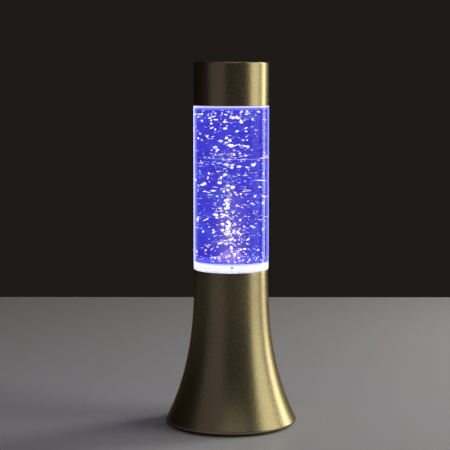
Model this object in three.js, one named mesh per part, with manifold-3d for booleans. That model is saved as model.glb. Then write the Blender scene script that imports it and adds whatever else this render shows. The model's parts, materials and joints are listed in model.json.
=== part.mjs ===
// A battery glitter lamp: a flared base, a clear tube of liquid with a magnetic stirrer, and a cap.
// Millimetres. The lamp stands on z = 0 with its axis along z. Its front faces -y.

import * as THREE from 'three';
import { mergeVertices } from 'three/addons/utils/BufferGeometryUtils.js';
import Module from 'manifold-3d';

const wasm = await Module();
wasm.setup();

// Driving sizes of the whole lamp
const baseHeight = 83.85;
const vesselHeight = 87.2;
const capHeight = 23;
const tubeRadius = 20;
const tubeWall = 1.5;
const capStep = 0.1;
const capRadius = tubeRadius - capStep;
const rimStand = 1.3;

// Clearances: moving pieces, pressed or bonded pieces, soldered or sprung ends, and the overrun of cuts
const runGap = 0.3;
const fitGap = 0.15;
const endGap = 0.3;
const boreGap = 0.05;
const overrun = 1;

// Sides of round pieces
const wideSides = 40;
const midSides = 16;
const smallSides = 12;
const sleeveSides = 24;

// Three AAA cells, side by side
const cellRadius = 5.15;
const cellLength = 44.2;
const cellShoulder = 0.5;
const nubRadius = 1.9;
const nubLength = 1;
const cellGap = 0.4;
const cellPitch = 2 * cellRadius + cellGap;

// Contact springs, pressed between a contact and a cell
const springLength = 3.6;
const springWire = 0.25;
const springFootRadius = 3.4;
const springTipRadius = 2.2;
const springTurns = 3;
const springStepsPerTurn = 8;
const springSides = 5;

// Contact plates
const contactThick = 0.4;
const contactHalf = 3.4;
const contactUp = 4;
const contactDown = 3;
const tabWidth = 3;
const tabLength = 4.5;

// Bottom cover, its battery bay and the door
const coverRecess = 0.5;
const coverThick = 2;
const bayWall = 1.2;
const bayRoof = 1.2;
const doorThick = 1.5;
const cellRest = 0.4;
const cellRib = 1;
const cellRibDepth = 2;
const bayHalfX = cellPitch + cellRadius + cellRest;
const bayHalfY = (cellLength + springLength + 2 * (contactThick + fitGap) + 3 * endGap) / 2;
const coverBase = rimStand + coverRecess;
const coverTop = coverBase + coverThick;
const cellAxis = coverBase + doorThick + cellRest + cellRadius;
const bayCeiling = cellAxis + cellRadius + cellRest;
const bayTop = bayCeiling + bayRoof;
const cellEnd = bayHalfY - fitGap - contactThick - endGap;
const tabPlace = cellPitch - contactHalf + tabWidth / 2;

// Base shell: a slightly tapered neck that flares to a rounded rim
const rimMargin = 5.265;
const baseRadius = Math.hypot(bayHalfX, bayHalfY) + rimMargin;
const neckRadius = 19.65;
const neckTaper = 1.4;
const shellWall = 1.8;
const rimEdge = 1.1;
const rimLand = 1.5;
const flarePower = 2.8;
const rimTurn = Math.PI * 0.148;
const rimSteps = 4;
const flareSteps = 12;
const wallSteps = 8;
const wallSpread = 1.6;
const coverBore = baseRadius - rimEdge - rimLand;
const flareFoot = rimStand + rimEdge * (1 + Math.sin(rimTurn));
const flareFootRadius = baseRadius - rimEdge * (1 - Math.cos(rimTurn));

// Door hooks, latch tongue and stiffening ribs
const doorHalfX = bayHalfX - runGap;
const doorHalfY = bayHalfY - runGap;
const doorCorner = 0.8;
const hookReach = 1.4;
const hookThick = 0.8;
const hookRoot = 1.05;
const hookHalf = 1.5;
const tongueHalf = 4;
const tongueReach = 2.6;
const tongueSlot = 0.8;
const tongueFlex = 7;
const gripRidge = 0.4;
const gripPitch = 1.5;
const doorRibHalf = 0.6;
const doorRibHeight = 1.2;
const doorRibInset = 9;

// Screws: the cover's and the carrier's are alike, the board's are smaller
const screwHeadRadius = 2.3;
const screwHead = 1.6;
const screwRadius = 1.1;
const screwLength = 8;
const boardScrewHeadRadius = 1.8;
const boardScrewHead = 1.2;
const boardScrewRadius = 0.9;
const boardScrewLength = 5;
const screwTopShare = 0.7;
const screwEdgeShare = 0.5;

// Screw wells of the cover and the shell's bosses above them
const coverScrewX = 23;
const coverScrewY = 12;
const wellRadius = 4;
const wellHeight = 5.2;
const headSink = 1;
const bossRadius = 3;
const bossHeight = 15;

// Feet
const footRadius = 3;
const footSpread = 20.3;
const footEdge = 0.4;

// Slide switch, beside the battery bay
const switchX = 24.5;
const switchTravel = 3;
const leverHalfX = 1.3;
const leverHalfY = 1.6;
const leverProud = 1.1;
const carriageHalfX = 2.4;
const carriageHalfY = 2.7;
const carriageHeight = 3.2;
const switchWall = 0.8;
const leverGroove = 0.3;

// Vessel floor, lid and fill plug
const floorThick = 4.6;
const seatStep = 1;
const spigotDepth = 5;
const spigotWall = 1.85;
const lidFlange = 0.8;
const lidStep = 1.2;
const lidNeck = 7;
const lidNeckWall = 2;
const lidWeb = 0.4;
const portRadius = 3;
const portBossRadius = 5;
const portBossHeight = 3;
const plugHeadRadius = 4.2;
const plugHead = 1.4;
const bubbleGap = 0.3;

// Stirrer, its magnets and the pin it turns on
const stirrerRadius = 5.6;
const stirrerBase = 2.2;
const stirrerConeRadius = 4.6;
const stirrerTipRadius = 1.6;
const stirrerHeight = 6.4;
const stirrerTipEdge = 0.4;
const vaneHalf = 0.4;
const vaneHeight = 2;
const vaneCount = 4;
const pinRadius = 0.75;
const pinRoot = 2;
const pinHeight = 4.9;
const stirrerMagnetRadius = 1.5;
const stirrerMagnetThick = 1.5;
const stirrerMagnetPlace = 3.35;
const pocketGap = 0.6;

// Drive hub and its magnets, under the vessel floor
const magnetAirGap = 0.8;
const hubRadius = 9.4;
const hubDisc = 4;
const hubBossRadius = 3.5;
const hubBoss = 2.2;
const hubCover = 0.8;
const driveMagnetRadius = 2.5;
const driveMagnetThick = 2.4;
const driveMagnetPlace = 6.2;

// LED board
const ledHeight = 7.6;
const ledRadius = 2.5;
const ledRimRadius = 2.9;
const ledRim = 1;
const ledPlace = 12.3;
const ledCount = 4;
const ledHeadroom = 1.6;
const boardThick = 1.6;
const boardInset = 1.25;
const boardRadius = neckRadius - shellWall - boardInset;
const boardHole = 5;
const boardScrewPlace = 12.8;
const resistorRadius = 1;
const resistorLength = 5.6;
const resistorPlace = 8;
const resistorLeg = 0.3;
const resistorStand = 0.5;

// Motor
const motorRadius = 10.05;
const motorHalfFlat = 7.55;
const motorLength = 25.1;
const canWall = 0.8;
const bearingRadius = 3.05;
const bearingLength = 1.6;
const shaftRadius = 1;
const shaftTail = 1;
const endCapThick = 3;
const armatureRadius = 6.3;
const armatureSlotHalf = 0.9;
const armaturePoles = 3;
const commutatorRadius = 2.6;
const commutatorLength = 4.5;
const armatureHeadroom = 2.6;
const brushRoom = 3.2;
const commutatorLow = endCapThick + brushRoom;
const armatureLow = commutatorLow + commutatorLength;
const armatureLength = motorLength - canWall - armatureHeadroom - armatureLow;
const fieldMagnetThick = 2;
const fieldMagnetLength = 14;
const fieldMagnetTurn = Math.PI * 0.22;
const terminalPlace = 5.5;
const terminalHalf = 1.1;
const terminalThick = 0.4;
const terminalLength = 3.6;

// Motor carrier and the shell's bosses that hold it
const carrierPlate = 1.6;
const plateGap = 0.45;
const carrierPlateRadius = neckRadius - shellWall - plateGap;
const carrierWall = 1.4;
const motorProud = 2.4;
const carrierDepth = motorLength + runGap - motorProud;
const lugThick = 2.2;
const lugHalf = 3.2;
const lugMargin = 2.6;
const lugPlace = 15.8;
const lugBossRadius = 2.6;
const lugBossHeight = 9;
const lugWebHalf = 1.1;
const notchGap = 0.6;
const boardBossRadius = 2;
const boardBoss = 3;

// Leads
const leadRadius = 0.65;
const leadSides = 8;
const leadStep = 3;
const lowLeadTurn = 14;
const wallLeadTurn = 24;

// Cap
const capWall = 1.4;
const capTop = 1.6;
const capEdge = 1.2;
const capEdgeSteps = 3;

// Heights and radii that follow from the sizes above
const vesselInner = tubeRadius - tubeWall - fitGap;
const spigotRadius = neckRadius - shellWall - fitGap;
const lidSeat = vesselHeight - lidFlange;
const hubTop = baseHeight - magnetAirGap;
const boardTop = baseHeight - ledHeadroom - ledHeight;
const carrierTop = boardTop - boardThick;
const carrierUnder = carrierTop - carrierPlate;
const motorTop = carrierUnder - runGap;
const motorUnder = motorTop - motorLength;
const lugUnder = carrierUnder - carrierDepth;
const switchTop = coverTop + runGap + carriageHeight + runGap + switchWall;
const spanAcross = 2 * baseRadius;

// Turns a closed outline of [radius, height] pairs about the z axis
function turned(outline, sides, place = [0, 0, 0]) {
  const points = outline.map(([radius, height]) => new THREE.Vector2(radius, height));
  points.push(points[0].clone());
  const geometry = new THREE.LatheGeometry(points, sides);
  geometry.rotateX(Math.PI / 2);
  geometry.translate(...place);
  return solid(geometry);
}

function rod(radius, low, high, sides, place) {
  return turned([[0, low], [radius, low], [radius, high], [0, high]], sides, place);
}

function block(low, high) {
  const size = high.map((value, axis) => value - low[axis]);
  const geometry = new THREE.BoxGeometry(...size);
  geometry.translate(...low.map((value, axis) => value + size[axis] / 2));
  return solid(geometry);
}

function slab(outline, low, high, curveSegments) {
  const geometry = new THREE.ExtrudeGeometry(outline, {
    depth: high - low,
    bevelEnabled: false,
    curveSegments,
  });
  geometry.translate(0, 0, low);
  return solid(geometry);
}

// Makes a closed solid of a geometry, with its shared corners merged and its faces pointing out
function solid(geometry) {
  geometry.deleteAttribute('normal');
  geometry.deleteAttribute('uv');
  const merged = mergeVertices(geometry);
  const position = merged.attributes.position;
  const corners = Array.from(merged.index.array);
  const triangles = [];
  for (let start = 0; start < corners.length; start += 3) {
    const [a, b, c] = corners.slice(start, start + 3);
    if (a !== b && b !== c && c !== a) {
      triangles.push([a, b, c]);
    }
  }
  const corner = (index) => new THREE.Vector3().fromBufferAttribute(position, index);
  const volume = triangles.reduce((sum, [a, b, c]) => (
    sum + corner(a).dot(corner(b).cross(corner(c)))
  ), 0);
  const outward = volume > 0 ? triangles : triangles.map(([a, b, c]) => [a, c, b]);
  return new wasm.Manifold(new wasm.Mesh({
    numProp: 3,
    vertProperties: new Float32Array(position.array),
    triVerts: new Uint32Array(outward.flat()),
  }));
}

function joined(first, ...others) {
  return others.reduce((whole, other) => whole.add(other), first);
}

function cut(first, ...others) {
  return others.reduce((whole, other) => whole.subtract(other), first);
}

function surfaceOf(body) {
  const { vertProperties, triVerts } = body.getMesh();
  const geometry = new THREE.BufferGeometry();
  geometry.setAttribute('position', new THREE.BufferAttribute(new Float32Array(vertProperties), 3));
  geometry.setIndex(new THREE.BufferAttribute(new Uint32Array(triVerts), 1));
  geometry.computeVertexNormals();
  return geometry;
}

// Finishes
const finishes = {
  champagnePaint: [0x9c8f6c, 0.36, 0.85],
  blackPlastic: [0x1b1b1d, 0.6, 0],
  whitePlastic: [0xdedcd4, 0.5, 0],
  clearAcrylic: [0xe8ecff, 0.05, 0, 0.35],
  blueLiquid: [0x2f35d8, 0.1, 0, 0.7],
  clearStirrer: [0xb9a8f0, 0.2, 0, 0.7],
  rubber: [0x232323, 0.9, 0],
  steel: [0xb4b6b8, 0.35, 1],
  nickel: [0xcfcfc8, 0.3, 1],
  brass: [0xc0a050, 0.35, 1],
  magnet: [0x8a8c90, 0.3, 1],
  ferrite: [0x2c2c30, 0.7, 0],
  cellJacket: [0x2f6b4a, 0.35, 0.2],
  boardGreen: [0x1f5a36, 0.45, 0],
  ledBlue: [0x8fa8ff, 0.1, 0, 0.7],
  resistorTan: [0xc8ab7c, 0.5, 0],
  copper: [0xa8603a, 0.4, 1],
  redLead: [0xb02020, 0.45, 0],
  blackLead: [0x151515, 0.45, 0],
};

function piece(name, body, finish, place = [0, 0, 0], turn = [0, 0, 0]) {
  const [color, roughness, metalness, opacity = 1] = finishes[finish];
  const material = new THREE.MeshStandardMaterial({
    color,
    roughness,
    metalness,
    opacity,
    transparent: opacity < 1,
  });
  const mesh = new THREE.Mesh(surfaceOf(body), material);
  mesh.name = name;
  mesh.position.set(...place);
  mesh.rotation.set(...turn);
  return mesh;
}

// Outer radius of the base at a height: a straight taper and a power curve, added together
function flareRadius(height) {
  const drop = Math.max((baseHeight - height) / (baseHeight - flareFoot), 0);
  const flare = flareFootRadius - neckRadius - neckTaper;
  return neckRadius + neckTaper * drop + flare * drop ** flarePower;
}

function innerRadius(height) {
  return Math.min(flareRadius(height) - shellWall, coverBore);
}

// A turned solid that fills the base inside the shell, up to a height, with a gap to its wall
function innerFill(top, gap) {
  const outline = [[0, rimStand - overrun]];
  for (let step = 0; step <= flareSteps; step += 1) {
    const height = rimStand - overrun + (top - rimStand + overrun) * step / flareSteps;
    outline.push([innerRadius(height) - gap, height]);
  }
  outline.push([0, top]);
  return turned(outline, wideSides);
}

function fourCorners(x, y) {
  return [[x, y], [-x, y], [-x, -y], [x, -y]];
}

// Base shell, with bosses for the cover's screws and for the motor carrier
function shellOutline() {
  const outline = [[coverBore, rimStand]];
  for (let step = 0; step <= rimSteps; step += 1) {
    const turn = -Math.PI / 2 + (rimTurn + Math.PI / 2) * step / rimSteps;
    outline.push([
      baseRadius - rimEdge + rimEdge * Math.cos(turn),
      rimStand + rimEdge + rimEdge * Math.sin(turn),
    ]);
  }
  for (let step = 1; step <= flareSteps; step += 1) {
    const height = flareFoot + (baseHeight - flareFoot) * step / flareSteps;
    outline.push([flareRadius(height), height]);
  }
  for (let step = wallSteps; step >= 0; step -= 1) {
    const height = flareFoot + (baseHeight - flareFoot) * (step / wallSteps) ** wallSpread;
    outline.push([innerRadius(height), height]);
  }
  return outline;
}

function shellSolid() {
  const outline = shellOutline();
  const outerOutline = [[0, rimStand], ...outline.slice(1, rimSteps + flareSteps + 2), [0, baseHeight]];
  const envelope = turned(outerOutline, wideSides);
  const wellTop = coverBase + wellHeight;
  const lugTop = lugUnder + lugThick;
  const bosses = fourCorners(coverScrewX, coverScrewY).map(([x, y]) => (
    rod(bossRadius, wellTop, wellTop + bossHeight, smallSides, [x, y, 0])
  ));
  for (const side of [-1, 1]) {
    const place = [side * lugPlace, 0, 0];
    bosses.push(rod(lugBossRadius, lugTop, lugTop + lugBossHeight, smallSides, place));
    bosses.push(block(
      [side > 0 ? lugPlace : -baseRadius, -lugWebHalf, lugTop],
      [side > 0 ? baseRadius : -lugPlace, lugWebHalf, lugTop + lugBossHeight],
    ));
  }
  const pilots = fourCorners(coverScrewX, coverScrewY).map(([x, y]) => (
    rod(screwRadius + fitGap, wellTop - overrun, wellTop + screwLength, smallSides, [x, y, 0])
  ));
  for (const side of [-1, 1]) {
    const place = [side * lugPlace, 0, 0];
    pilots.push(rod(screwRadius + fitGap, lugTop - overrun, lugTop + screwLength, smallSides, place));
  }
  const body = joined(turned(outline, wideSides), joined(...bosses).intersect(envelope));
  return cut(body, ...pilots);
}

// Bottom cover, moulded in one with the battery bay and the screw wells
function coverSolid() {
  const coverRadius = coverBore - runGap;
  const outerX = bayHalfX + bayWall;
  const outerY = bayHalfY + bayWall;
  const bay = block([-outerX, -outerY, coverBase], [outerX, outerY, bayTop]);
  const wells = fourCorners(coverScrewX, coverScrewY).map(([x, y]) => (
    rod(wellRadius, coverBase, coverBase + wellHeight, midSides, [x, y, 0])
  ));
  const outside = joined(bay, ...wells).intersect(innerFill(bayTop + overrun, runGap));
  const disc = rod(coverRadius, coverBase, coverTop, wideSides);
  const hollow = block(
    [-bayHalfX, -bayHalfY, coverBase - overrun],
    [bayHalfX, bayHalfY, bayCeiling],
  ).intersect(innerFill(bayCeiling + overrun, runGap + bayWall));
  const ribs = [-1, 1].map((side) => block(
    [side * cellPitch / 2 - cellRib / 2, -cellEnd, bayCeiling - cellRibDepth],
    [side * cellPitch / 2 + cellRib / 2, cellEnd, bayTop - bayRoof / 2],
  ));
  const body = joined(cut(joined(disc, outside), hollow), ...ribs);
  return cut(body, ...coverCuts());
}

function coverCuts() {
  const hookSweep = Math.hypot(hookReach, coverThick + runGap + hookThick);
  const cuts = [-1, 1].map((side) => block(
    [side * cellPitch / 2 - hookHalf - runGap, -bayHalfY - bayWall - overrun, coverTop],
    [side * cellPitch / 2 + hookHalf + runGap, -bayHalfY + overrun, coverBase + hookSweep + runGap],
  ));
  cuts.push(block(
    [-tongueHalf - runGap, bayHalfY - overrun, coverBase - overrun],
    [tongueHalf + runGap, doorHalfY + tongueReach + 2 * runGap, coverTop],
  ));
  for (const [x, y] of fourCorners(coverScrewX, coverScrewY)) {
    const headTop = coverBase + headSink + screwHead;
    cuts.push(rod(screwHeadRadius + runGap, coverBase - overrun, headTop, midSides, [x, y, 0]));
    cuts.push(rod(screwRadius + fitGap, coverBase, bayTop, smallSides, [x, y, 0]));
  }
  cuts.push(block(
    [switchX - leverHalfX - runGap, -switchTravel / 2 - leverHalfY - runGap, coverBase - overrun],
    [switchX + leverHalfX + runGap, switchTravel / 2 + leverHalfY + runGap, coverTop + overrun],
  ));
  for (const end of [-1, 1]) {
    const place = -end * tabPlace;
    cuts.push(block(
      [place - tabWidth / 2 - runGap, Math.min(end * cellEnd, end * bayHalfY), bayCeiling - overrun],
      [place + tabWidth / 2 + runGap, Math.max(end * cellEnd, end * bayHalfY), bayTop + overrun],
    ));
  }
  return cuts;
}

// Battery door, in its own frame: the hinge line is the x axis, and the door lies along +y
function doorSolid() {
  const length = 2 * doorHalfY;
  const outline = new THREE.Shape();
  outline.moveTo(-doorHalfX, 0);
  outline.lineTo(doorHalfX, 0);
  outline.absarc(doorHalfX - doorCorner, length - doorCorner, doorCorner, 0, Math.PI / 2);
  outline.absarc(-doorHalfX + doorCorner, length - doorCorner, doorCorner, Math.PI / 2, Math.PI);
  const plate = slab(outline, 0, doorThick, smallSides / 4);
  const tongue = block([-tongueHalf, length - doorCorner, 0], [tongueHalf, length + tongueReach, doorThick]);
  const ribs = [-1, 1].map((side) => block(
    [side * cellPitch / 2 - doorRibHalf, doorRibInset, doorThick - gripRidge],
    [side * cellPitch / 2 + doorRibHalf, length - doorRibInset, doorThick + doorRibHeight],
  ));
  const hookTop = coverThick + runGap + hookThick;
  const hooks = [-1, 1].flatMap((side) => {
    const left = side * cellPitch / 2 - hookHalf;
    const right = side * cellPitch / 2 + hookHalf;
    return [
      block([left, runGap, doorThick - gripRidge], [right, runGap + hookRoot, hookTop]),
      block([left, -hookReach, hookTop - hookThick], [right, runGap + hookRoot, hookTop]),
    ];
  });
  const slots = [-1, 1].map((side) => block(
    [side * (tongueHalf + tongueSlot / 2) - tongueSlot / 2, length - tongueFlex, -overrun],
    [side * (tongueHalf + tongueSlot / 2) + tongueSlot / 2, length + overrun, doorThick + overrun],
  ));
  const grooves = [0, 1, 2].map((index) => block(
    [-tongueHalf + gripPitch, length - gripPitch * (index + 1), -overrun],
    [tongueHalf - gripPitch, length - gripPitch * (index + 1) + gripPitch / 2, gripRidge],
  ));
  return cut(joined(plate, tongue, ...ribs, ...hooks), ...slots, ...grooves);
}

function footSolid() {
  return turned([
    [0, 0],
    [footRadius - footEdge, 0],
    [footRadius, footEdge],
    [footRadius, coverBase],
    [0, coverBase],
  ], midSides);
}

// A pan-head screw that stands on its head: the head's flat top is at z = 0 and the shank points up
function screwSolid(headRadius, head, radius, length) {
  return turned([
    [0, 0],
    [headRadius * screwTopShare, 0],
    [headRadius, head * screwEdgeShare],
    [headRadius, head],
    [radius, head],
    [radius, head + length - radius],
    [0, head + length],
  ], smallSides);
}

// A cell stands on its flat end, with its nub at the top
function cellSolid() {
  const shoulder = cellLength - nubLength;
  return turned([
    [0, 0],
    [cellRadius - cellShoulder, 0],
    [cellRadius, cellShoulder],
    [cellRadius, shoulder - cellShoulder],
    [cellRadius - cellShoulder, shoulder],
    [nubRadius, shoulder],
    [nubRadius, cellLength],
    [0, cellLength],
  ], midSides);
}

// The centre line of a conical contact spring, from its wide foot to its tip
class SpringLine extends THREE.Curve {
  getPoint(share, target = new THREE.Vector3()) {
    const turn = 2 * Math.PI * springTurns * share;
    const radius = springFootRadius + (springTipRadius - springFootRadius) * share;
    const height = springWire + (springLength - 2 * springWire) * share;
    return target.set(radius * Math.cos(turn), radius * Math.sin(turn), height);
  }
}

function ringOf(radius, sides) {
  const corners = [];
  for (let side = 0; side < sides; side += 1) {
    const turn = 2 * Math.PI * side / sides;
    corners.push(new THREE.Vector2(radius * Math.cos(turn), radius * Math.sin(turn)));
  }
  return new THREE.Shape(corners);
}

function springSolid() {
  const geometry = new THREE.ExtrudeGeometry(ringOf(springWire, springSides), {
    steps: springStepsPerTurn * springTurns,
    extrudePath: new SpringLine(),
  });
  return solid(geometry);
}

// The least distance between the surfaces of two stretches of the spring at least half a turn apart
function springSelfGap() {
  const line = new SpringLine();
  const samplesPerTurn = 60;
  const count = samplesPerTurn * springTurns;
  const points = line.getPoints(count);
  const apart = samplesPerTurn / 2;
  let least = Infinity;
  for (let first = 0; first + apart <= count; first += 1) {
    for (let second = first + apart; second <= count; second += 1) {
      least = Math.min(least, points[first].distanceTo(points[second]));
    }
  }
  return least - 2 * springWire;
}

// A contact plate at one end of the bay, from one x to another, its corners trimmed to the bay's wall
function contactSolid(end, left, right, tabAt) {
  const face = bayHalfY - fitGap;
  const low = Math.min(end * face, end * (face - contactThick));
  const high = Math.max(end * face, end * (face - contactThick));
  const fill = innerFill(bayTop + overrun, runGap + bayWall + fitGap);
  const plate = block([left, low, cellAxis - contactDown], [right, high, cellAxis + contactUp]);
  const body = plate.intersect(fill);
  if (tabAt === undefined) {
    return body;
  }
  const foldTop = bayTop + endGap + contactThick;
  const stem = block(
    [tabAt - tabWidth / 2, low, cellAxis],
    [tabAt + tabWidth / 2, high, foldTop],
  );
  const fold = block(
    [tabAt - tabWidth / 2, Math.min(end * face, end * (face - tabLength)), bayTop + endGap],
    [tabAt + tabWidth / 2, Math.max(end * face, end * (face - tabLength)), foldTop],
  );
  return joined(body, stem, fold);
}

// Slide switch: an open-bottomed housing on the cover, and a carriage with a grooved lever
function switchHousingSolid() {
  const cavityX = carriageHalfX + runGap;
  const cavityY = switchTravel / 2 + carriageHalfY + runGap;
  const cavityTop = switchTop - switchWall;
  return cut(
    block(
      [-cavityX - switchWall, -cavityY - switchWall, coverTop],
      [cavityX + switchWall, cavityY + switchWall, switchTop],
    ),
    block([-cavityX, -cavityY, coverTop - overrun], [cavityX, cavityY, cavityTop]),
  );
}

function switchSliderSolid() {
  const carriageLow = coverTop + runGap;
  const leverLow = coverBase - leverProud;
  const grooves = [-1, 0, 1].map((index) => block(
    [-leverHalfX - overrun, index * leverHalfY / 2 - leverGroove / 2, leverLow - overrun],
    [leverHalfX + overrun, index * leverHalfY / 2 + leverGroove / 2, leverLow + leverGroove],
  ));
  return cut(joined(
    block([-leverHalfX, -leverHalfY, leverLow], [leverHalfX, leverHalfY, carriageLow + leverGroove]),
    block(
      [-carriageHalfX, -carriageHalfY, carriageLow],
      [carriageHalfX, carriageHalfY, carriageLow + carriageHeight],
    ),
  ), ...grooves);
}

// The motor's outline: a circle with two flats, drawn at a distance inside or outside the can
function motorOutline(offset) {
  const radius = motorRadius + offset;
  const flat = motorHalfFlat + offset;
  const turn = Math.asin(flat / radius);
  const outline = new THREE.Shape();
  outline.absarc(0, 0, radius, -turn, turn);
  outline.absarc(0, 0, radius, Math.PI - turn, Math.PI + turn);
  return outline;
}

// Motor pieces stand on z = 0 at the open end of the can
function motorCanSolid() {
  const outer = slab(motorOutline(0), 0, motorLength, smallSides);
  const inner = slab(motorOutline(-canWall), -overrun, motorLength - canWall, smallSides);
  const bearing = rod(bearingRadius, motorLength - canWall, motorLength + bearingLength, midSides);
  const hole = rod(shaftRadius + runGap, 0, motorLength + bearingLength + overrun, smallSides);
  return cut(joined(cut(outer, inner), bearing), hole);
}

function motorEndCapSolid() {
  const plug = slab(motorOutline(-canWall - fitGap), 0, endCapThick, smallSides);
  const bearing = rod(bearingRadius, -shaftTail / 2, endCapThick, midSides);
  const hole = rod(shaftRadius + runGap, -overrun - shaftTail, endCapThick + overrun, smallSides);
  const slots = [-1, 1].map((side) => block(
    [side * terminalPlace - terminalThick / 2 - boreGap, -terminalHalf - boreGap, -overrun],
    [side * terminalPlace + terminalThick / 2 + boreGap, terminalHalf + boreGap, endCapThick + overrun],
  ));
  return cut(joined(plug, bearing), hole, ...slots);
}

function motorTerminalSolid() {
  return block(
    [-terminalThick / 2, -terminalHalf, -terminalLength],
    [terminalThick / 2, terminalHalf, endCapThick],
  );
}

function armatureSolid() {
  const core = rod(armatureRadius, armatureLow, armatureLow + armatureLength, midSides);
  const commutator = rod(commutatorRadius, commutatorLow, armatureLow + overrun, smallSides);
  const bore = rod(shaftRadius + boreGap, commutatorLow - overrun, motorLength, smallSides);
  return cut(joined(cut(core, ...poleSlots()), commutator), bore);
}

function poleSlots() {
  const slots = [];
  for (let pole = 0; pole < armaturePoles; pole += 1) {
    const geometry = new THREE.BoxGeometry(
      armatureRadius,
      2 * armatureSlotHalf,
      armatureLength + 2 * overrun,
    );
    geometry.translate(commutatorRadius + armatureRadius / 2, 0, armatureLow + armatureLength / 2);
    geometry.rotateZ(2 * Math.PI * pole / armaturePoles);
    slots.push(solid(geometry));
  }
  return slots;
}

function fieldMagnetSolid(side) {
  const outer = motorRadius - canWall - fitGap;
  const inner = outer - fieldMagnetThick;
  const middle = side > 0 ? 0 : Math.PI;
  const outline = new THREE.Shape();
  outline.absarc(0, 0, outer, middle - fieldMagnetTurn, middle + fieldMagnetTurn);
  outline.absarc(0, 0, inner, middle + fieldMagnetTurn, middle - fieldMagnetTurn, true);
  const high = motorLength - canWall - fitGap;
  return slab(outline, high - fieldMagnetLength, high, smallSides / 2);
}

function shaftSolid() {
  return rod(shaftRadius, motorUnder - shaftTail, hubTop - hubCover - boreGap, smallSides);
}

// Motor carrier: a sleeve round the motor, a top plate for the LED board and two screw lugs
function carrierSolid() {
  const sleeveLow = -carrierDepth;
  const sleeve = rod(motorRadius + fitGap + carrierWall, sleeveLow, carrierPlate, sleeveSides);
  const plate = rod(carrierPlateRadius, 0, carrierPlate, sleeveSides);
  const lugReach = lugPlace + lugMargin;
  const lugs = block([-lugReach, -lugHalf, sleeveLow], [lugReach, lugHalf, sleeveLow + lugThick]);
  const boardBosses = [-1, 1].map((side) => (
    rod(boardBossRadius, -boardBoss, carrierPlate, midSides, [0, side * boardScrewPlace, 0])
  ));
  const body = joined(sleeve, plate, lugs, ...boardBosses);
  const motorBore = slab(motorOutline(fitGap), sleeveLow - overrun, 0, smallSides);
  const bearingBore = rod(bearingRadius + runGap, -overrun, carrierPlate + overrun, midSides);
  const holes = [-1, 1].flatMap((side) => [
    rod(screwRadius + fitGap, sleeveLow - overrun, sleeveLow + lugThick + overrun, smallSides,
      [side * lugPlace, 0, 0]),
    rod(boardScrewRadius + fitGap, -boardBoss - overrun, carrierPlate + overrun, smallSides,
      [0, side * boardScrewPlace, 0]),
  ]);
  return cut(body, motorBore, bearingBore, ...holes, ...sideNotches(0, carrierPlate));
}

// Notches at both sides, which let a plate pass the shell's bosses and let the leads come up
function sideNotches(low, high) {
  const radius = lugBossRadius + notchGap;
  return [-1, 1].flatMap((side) => [
    rod(radius, low - overrun, high + overrun, midSides, [side * lugPlace, 0, 0]),
    block(
      [side > 0 ? lugPlace : -spanAcross, -radius, low - overrun],
      [side > 0 ? spanAcross : -lugPlace, radius, high + overrun],
    ),
  ]);
}

// LED board, standing on the carrier's plate
function boardSolid() {
  const disc = rod(boardRadius, 0, boardThick, sleeveSides);
  const hole = rod(boardHole, -overrun, boardThick + overrun, midSides);
  const screwHoles = [-1, 1].map((side) => (
    rod(boardScrewRadius + fitGap, -overrun, boardThick + overrun, smallSides,
      [0, side * boardScrewPlace, 0])
  ));
  return cut(disc, hole, ...screwHoles, ...sideNotches(0, boardThick));
}

function ledSolid() {
  const outline = [[0, 0], [ledRimRadius, 0], [ledRimRadius, ledRim], [ledRadius, ledRim]];
  const domeSteps = 3;
  for (let step = 0; step < domeSteps; step += 1) {
    const turn = Math.PI / 2 * step / domeSteps;
    outline.push([ledRadius * Math.cos(turn), ledHeight - ledRadius + ledRadius * Math.sin(turn)]);
  }
  outline.push([0, ledHeight]);
  return turned(outline, smallSides);
}

// A small resistor that lies along x on its two bent legs
function resistorSolid() {
  const axisHeight = resistorStand + resistorRadius;
  const geometry = new THREE.CylinderGeometry(
    resistorRadius,
    resistorRadius,
    resistorLength,
    smallSides,
  );
  geometry.rotateZ(Math.PI / 2);
  geometry.translate(0, 0, axisHeight);
  const legPlace = resistorLength / 2 + resistorStand;
  const legs = [-1, 1].map((side) => block(
    [side * legPlace - resistorLeg, -resistorLeg, 0],
    [side * legPlace + resistorLeg, resistorLeg, axisHeight + resistorLeg],
  ));
  const wire = block(
    [-legPlace, -resistorLeg, axisHeight - resistorLeg],
    [legPlace, resistorLeg, axisHeight + resistorLeg],
  );
  return joined(solid(geometry), wire, ...legs);
}

// Drive hub: a disc that carries two magnets face up, on a boss pressed onto the shaft
function hubSolid() {
  const disc = rod(hubRadius, -hubDisc, 0, midSides);
  const boss = rod(hubBossRadius, -hubDisc - hubBoss, -hubDisc / 2, midSides);
  const bore = rod(shaftRadius + boreGap, -hubDisc - hubBoss - overrun, -hubCover, smallSides);
  const pockets = [-1, 1].map((side) => (
    rod(driveMagnetRadius + fitGap, -driveMagnetThick - fitGap, overrun, midSides,
      [side * driveMagnetPlace, 0, 0])
  ));
  return cut(joined(disc, boss), bore, ...pockets);
}

function magnetSolid(radius, thick) {
  return rod(radius, 0, thick, smallSides);
}

// Vessel pieces stand on z = 0 at the top of the base
function vesselFloorSolid() {
  return cut(turned([
    [0, 0],
    [spigotRadius - spigotWall, 0],
    [spigotRadius - spigotWall, -spigotDepth],
    [spigotRadius, -spigotDepth],
    [spigotRadius, 0],
    [tubeRadius, 0],
    [tubeRadius, floorThick - seatStep],
    [vesselInner, floorThick - seatStep],
    [vesselInner, floorThick],
    [0, floorThick],
  ], wideSides), rod(pinRadius + boreGap, floorThick - pinRoot, floorThick + overrun, smallSides));
}

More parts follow.
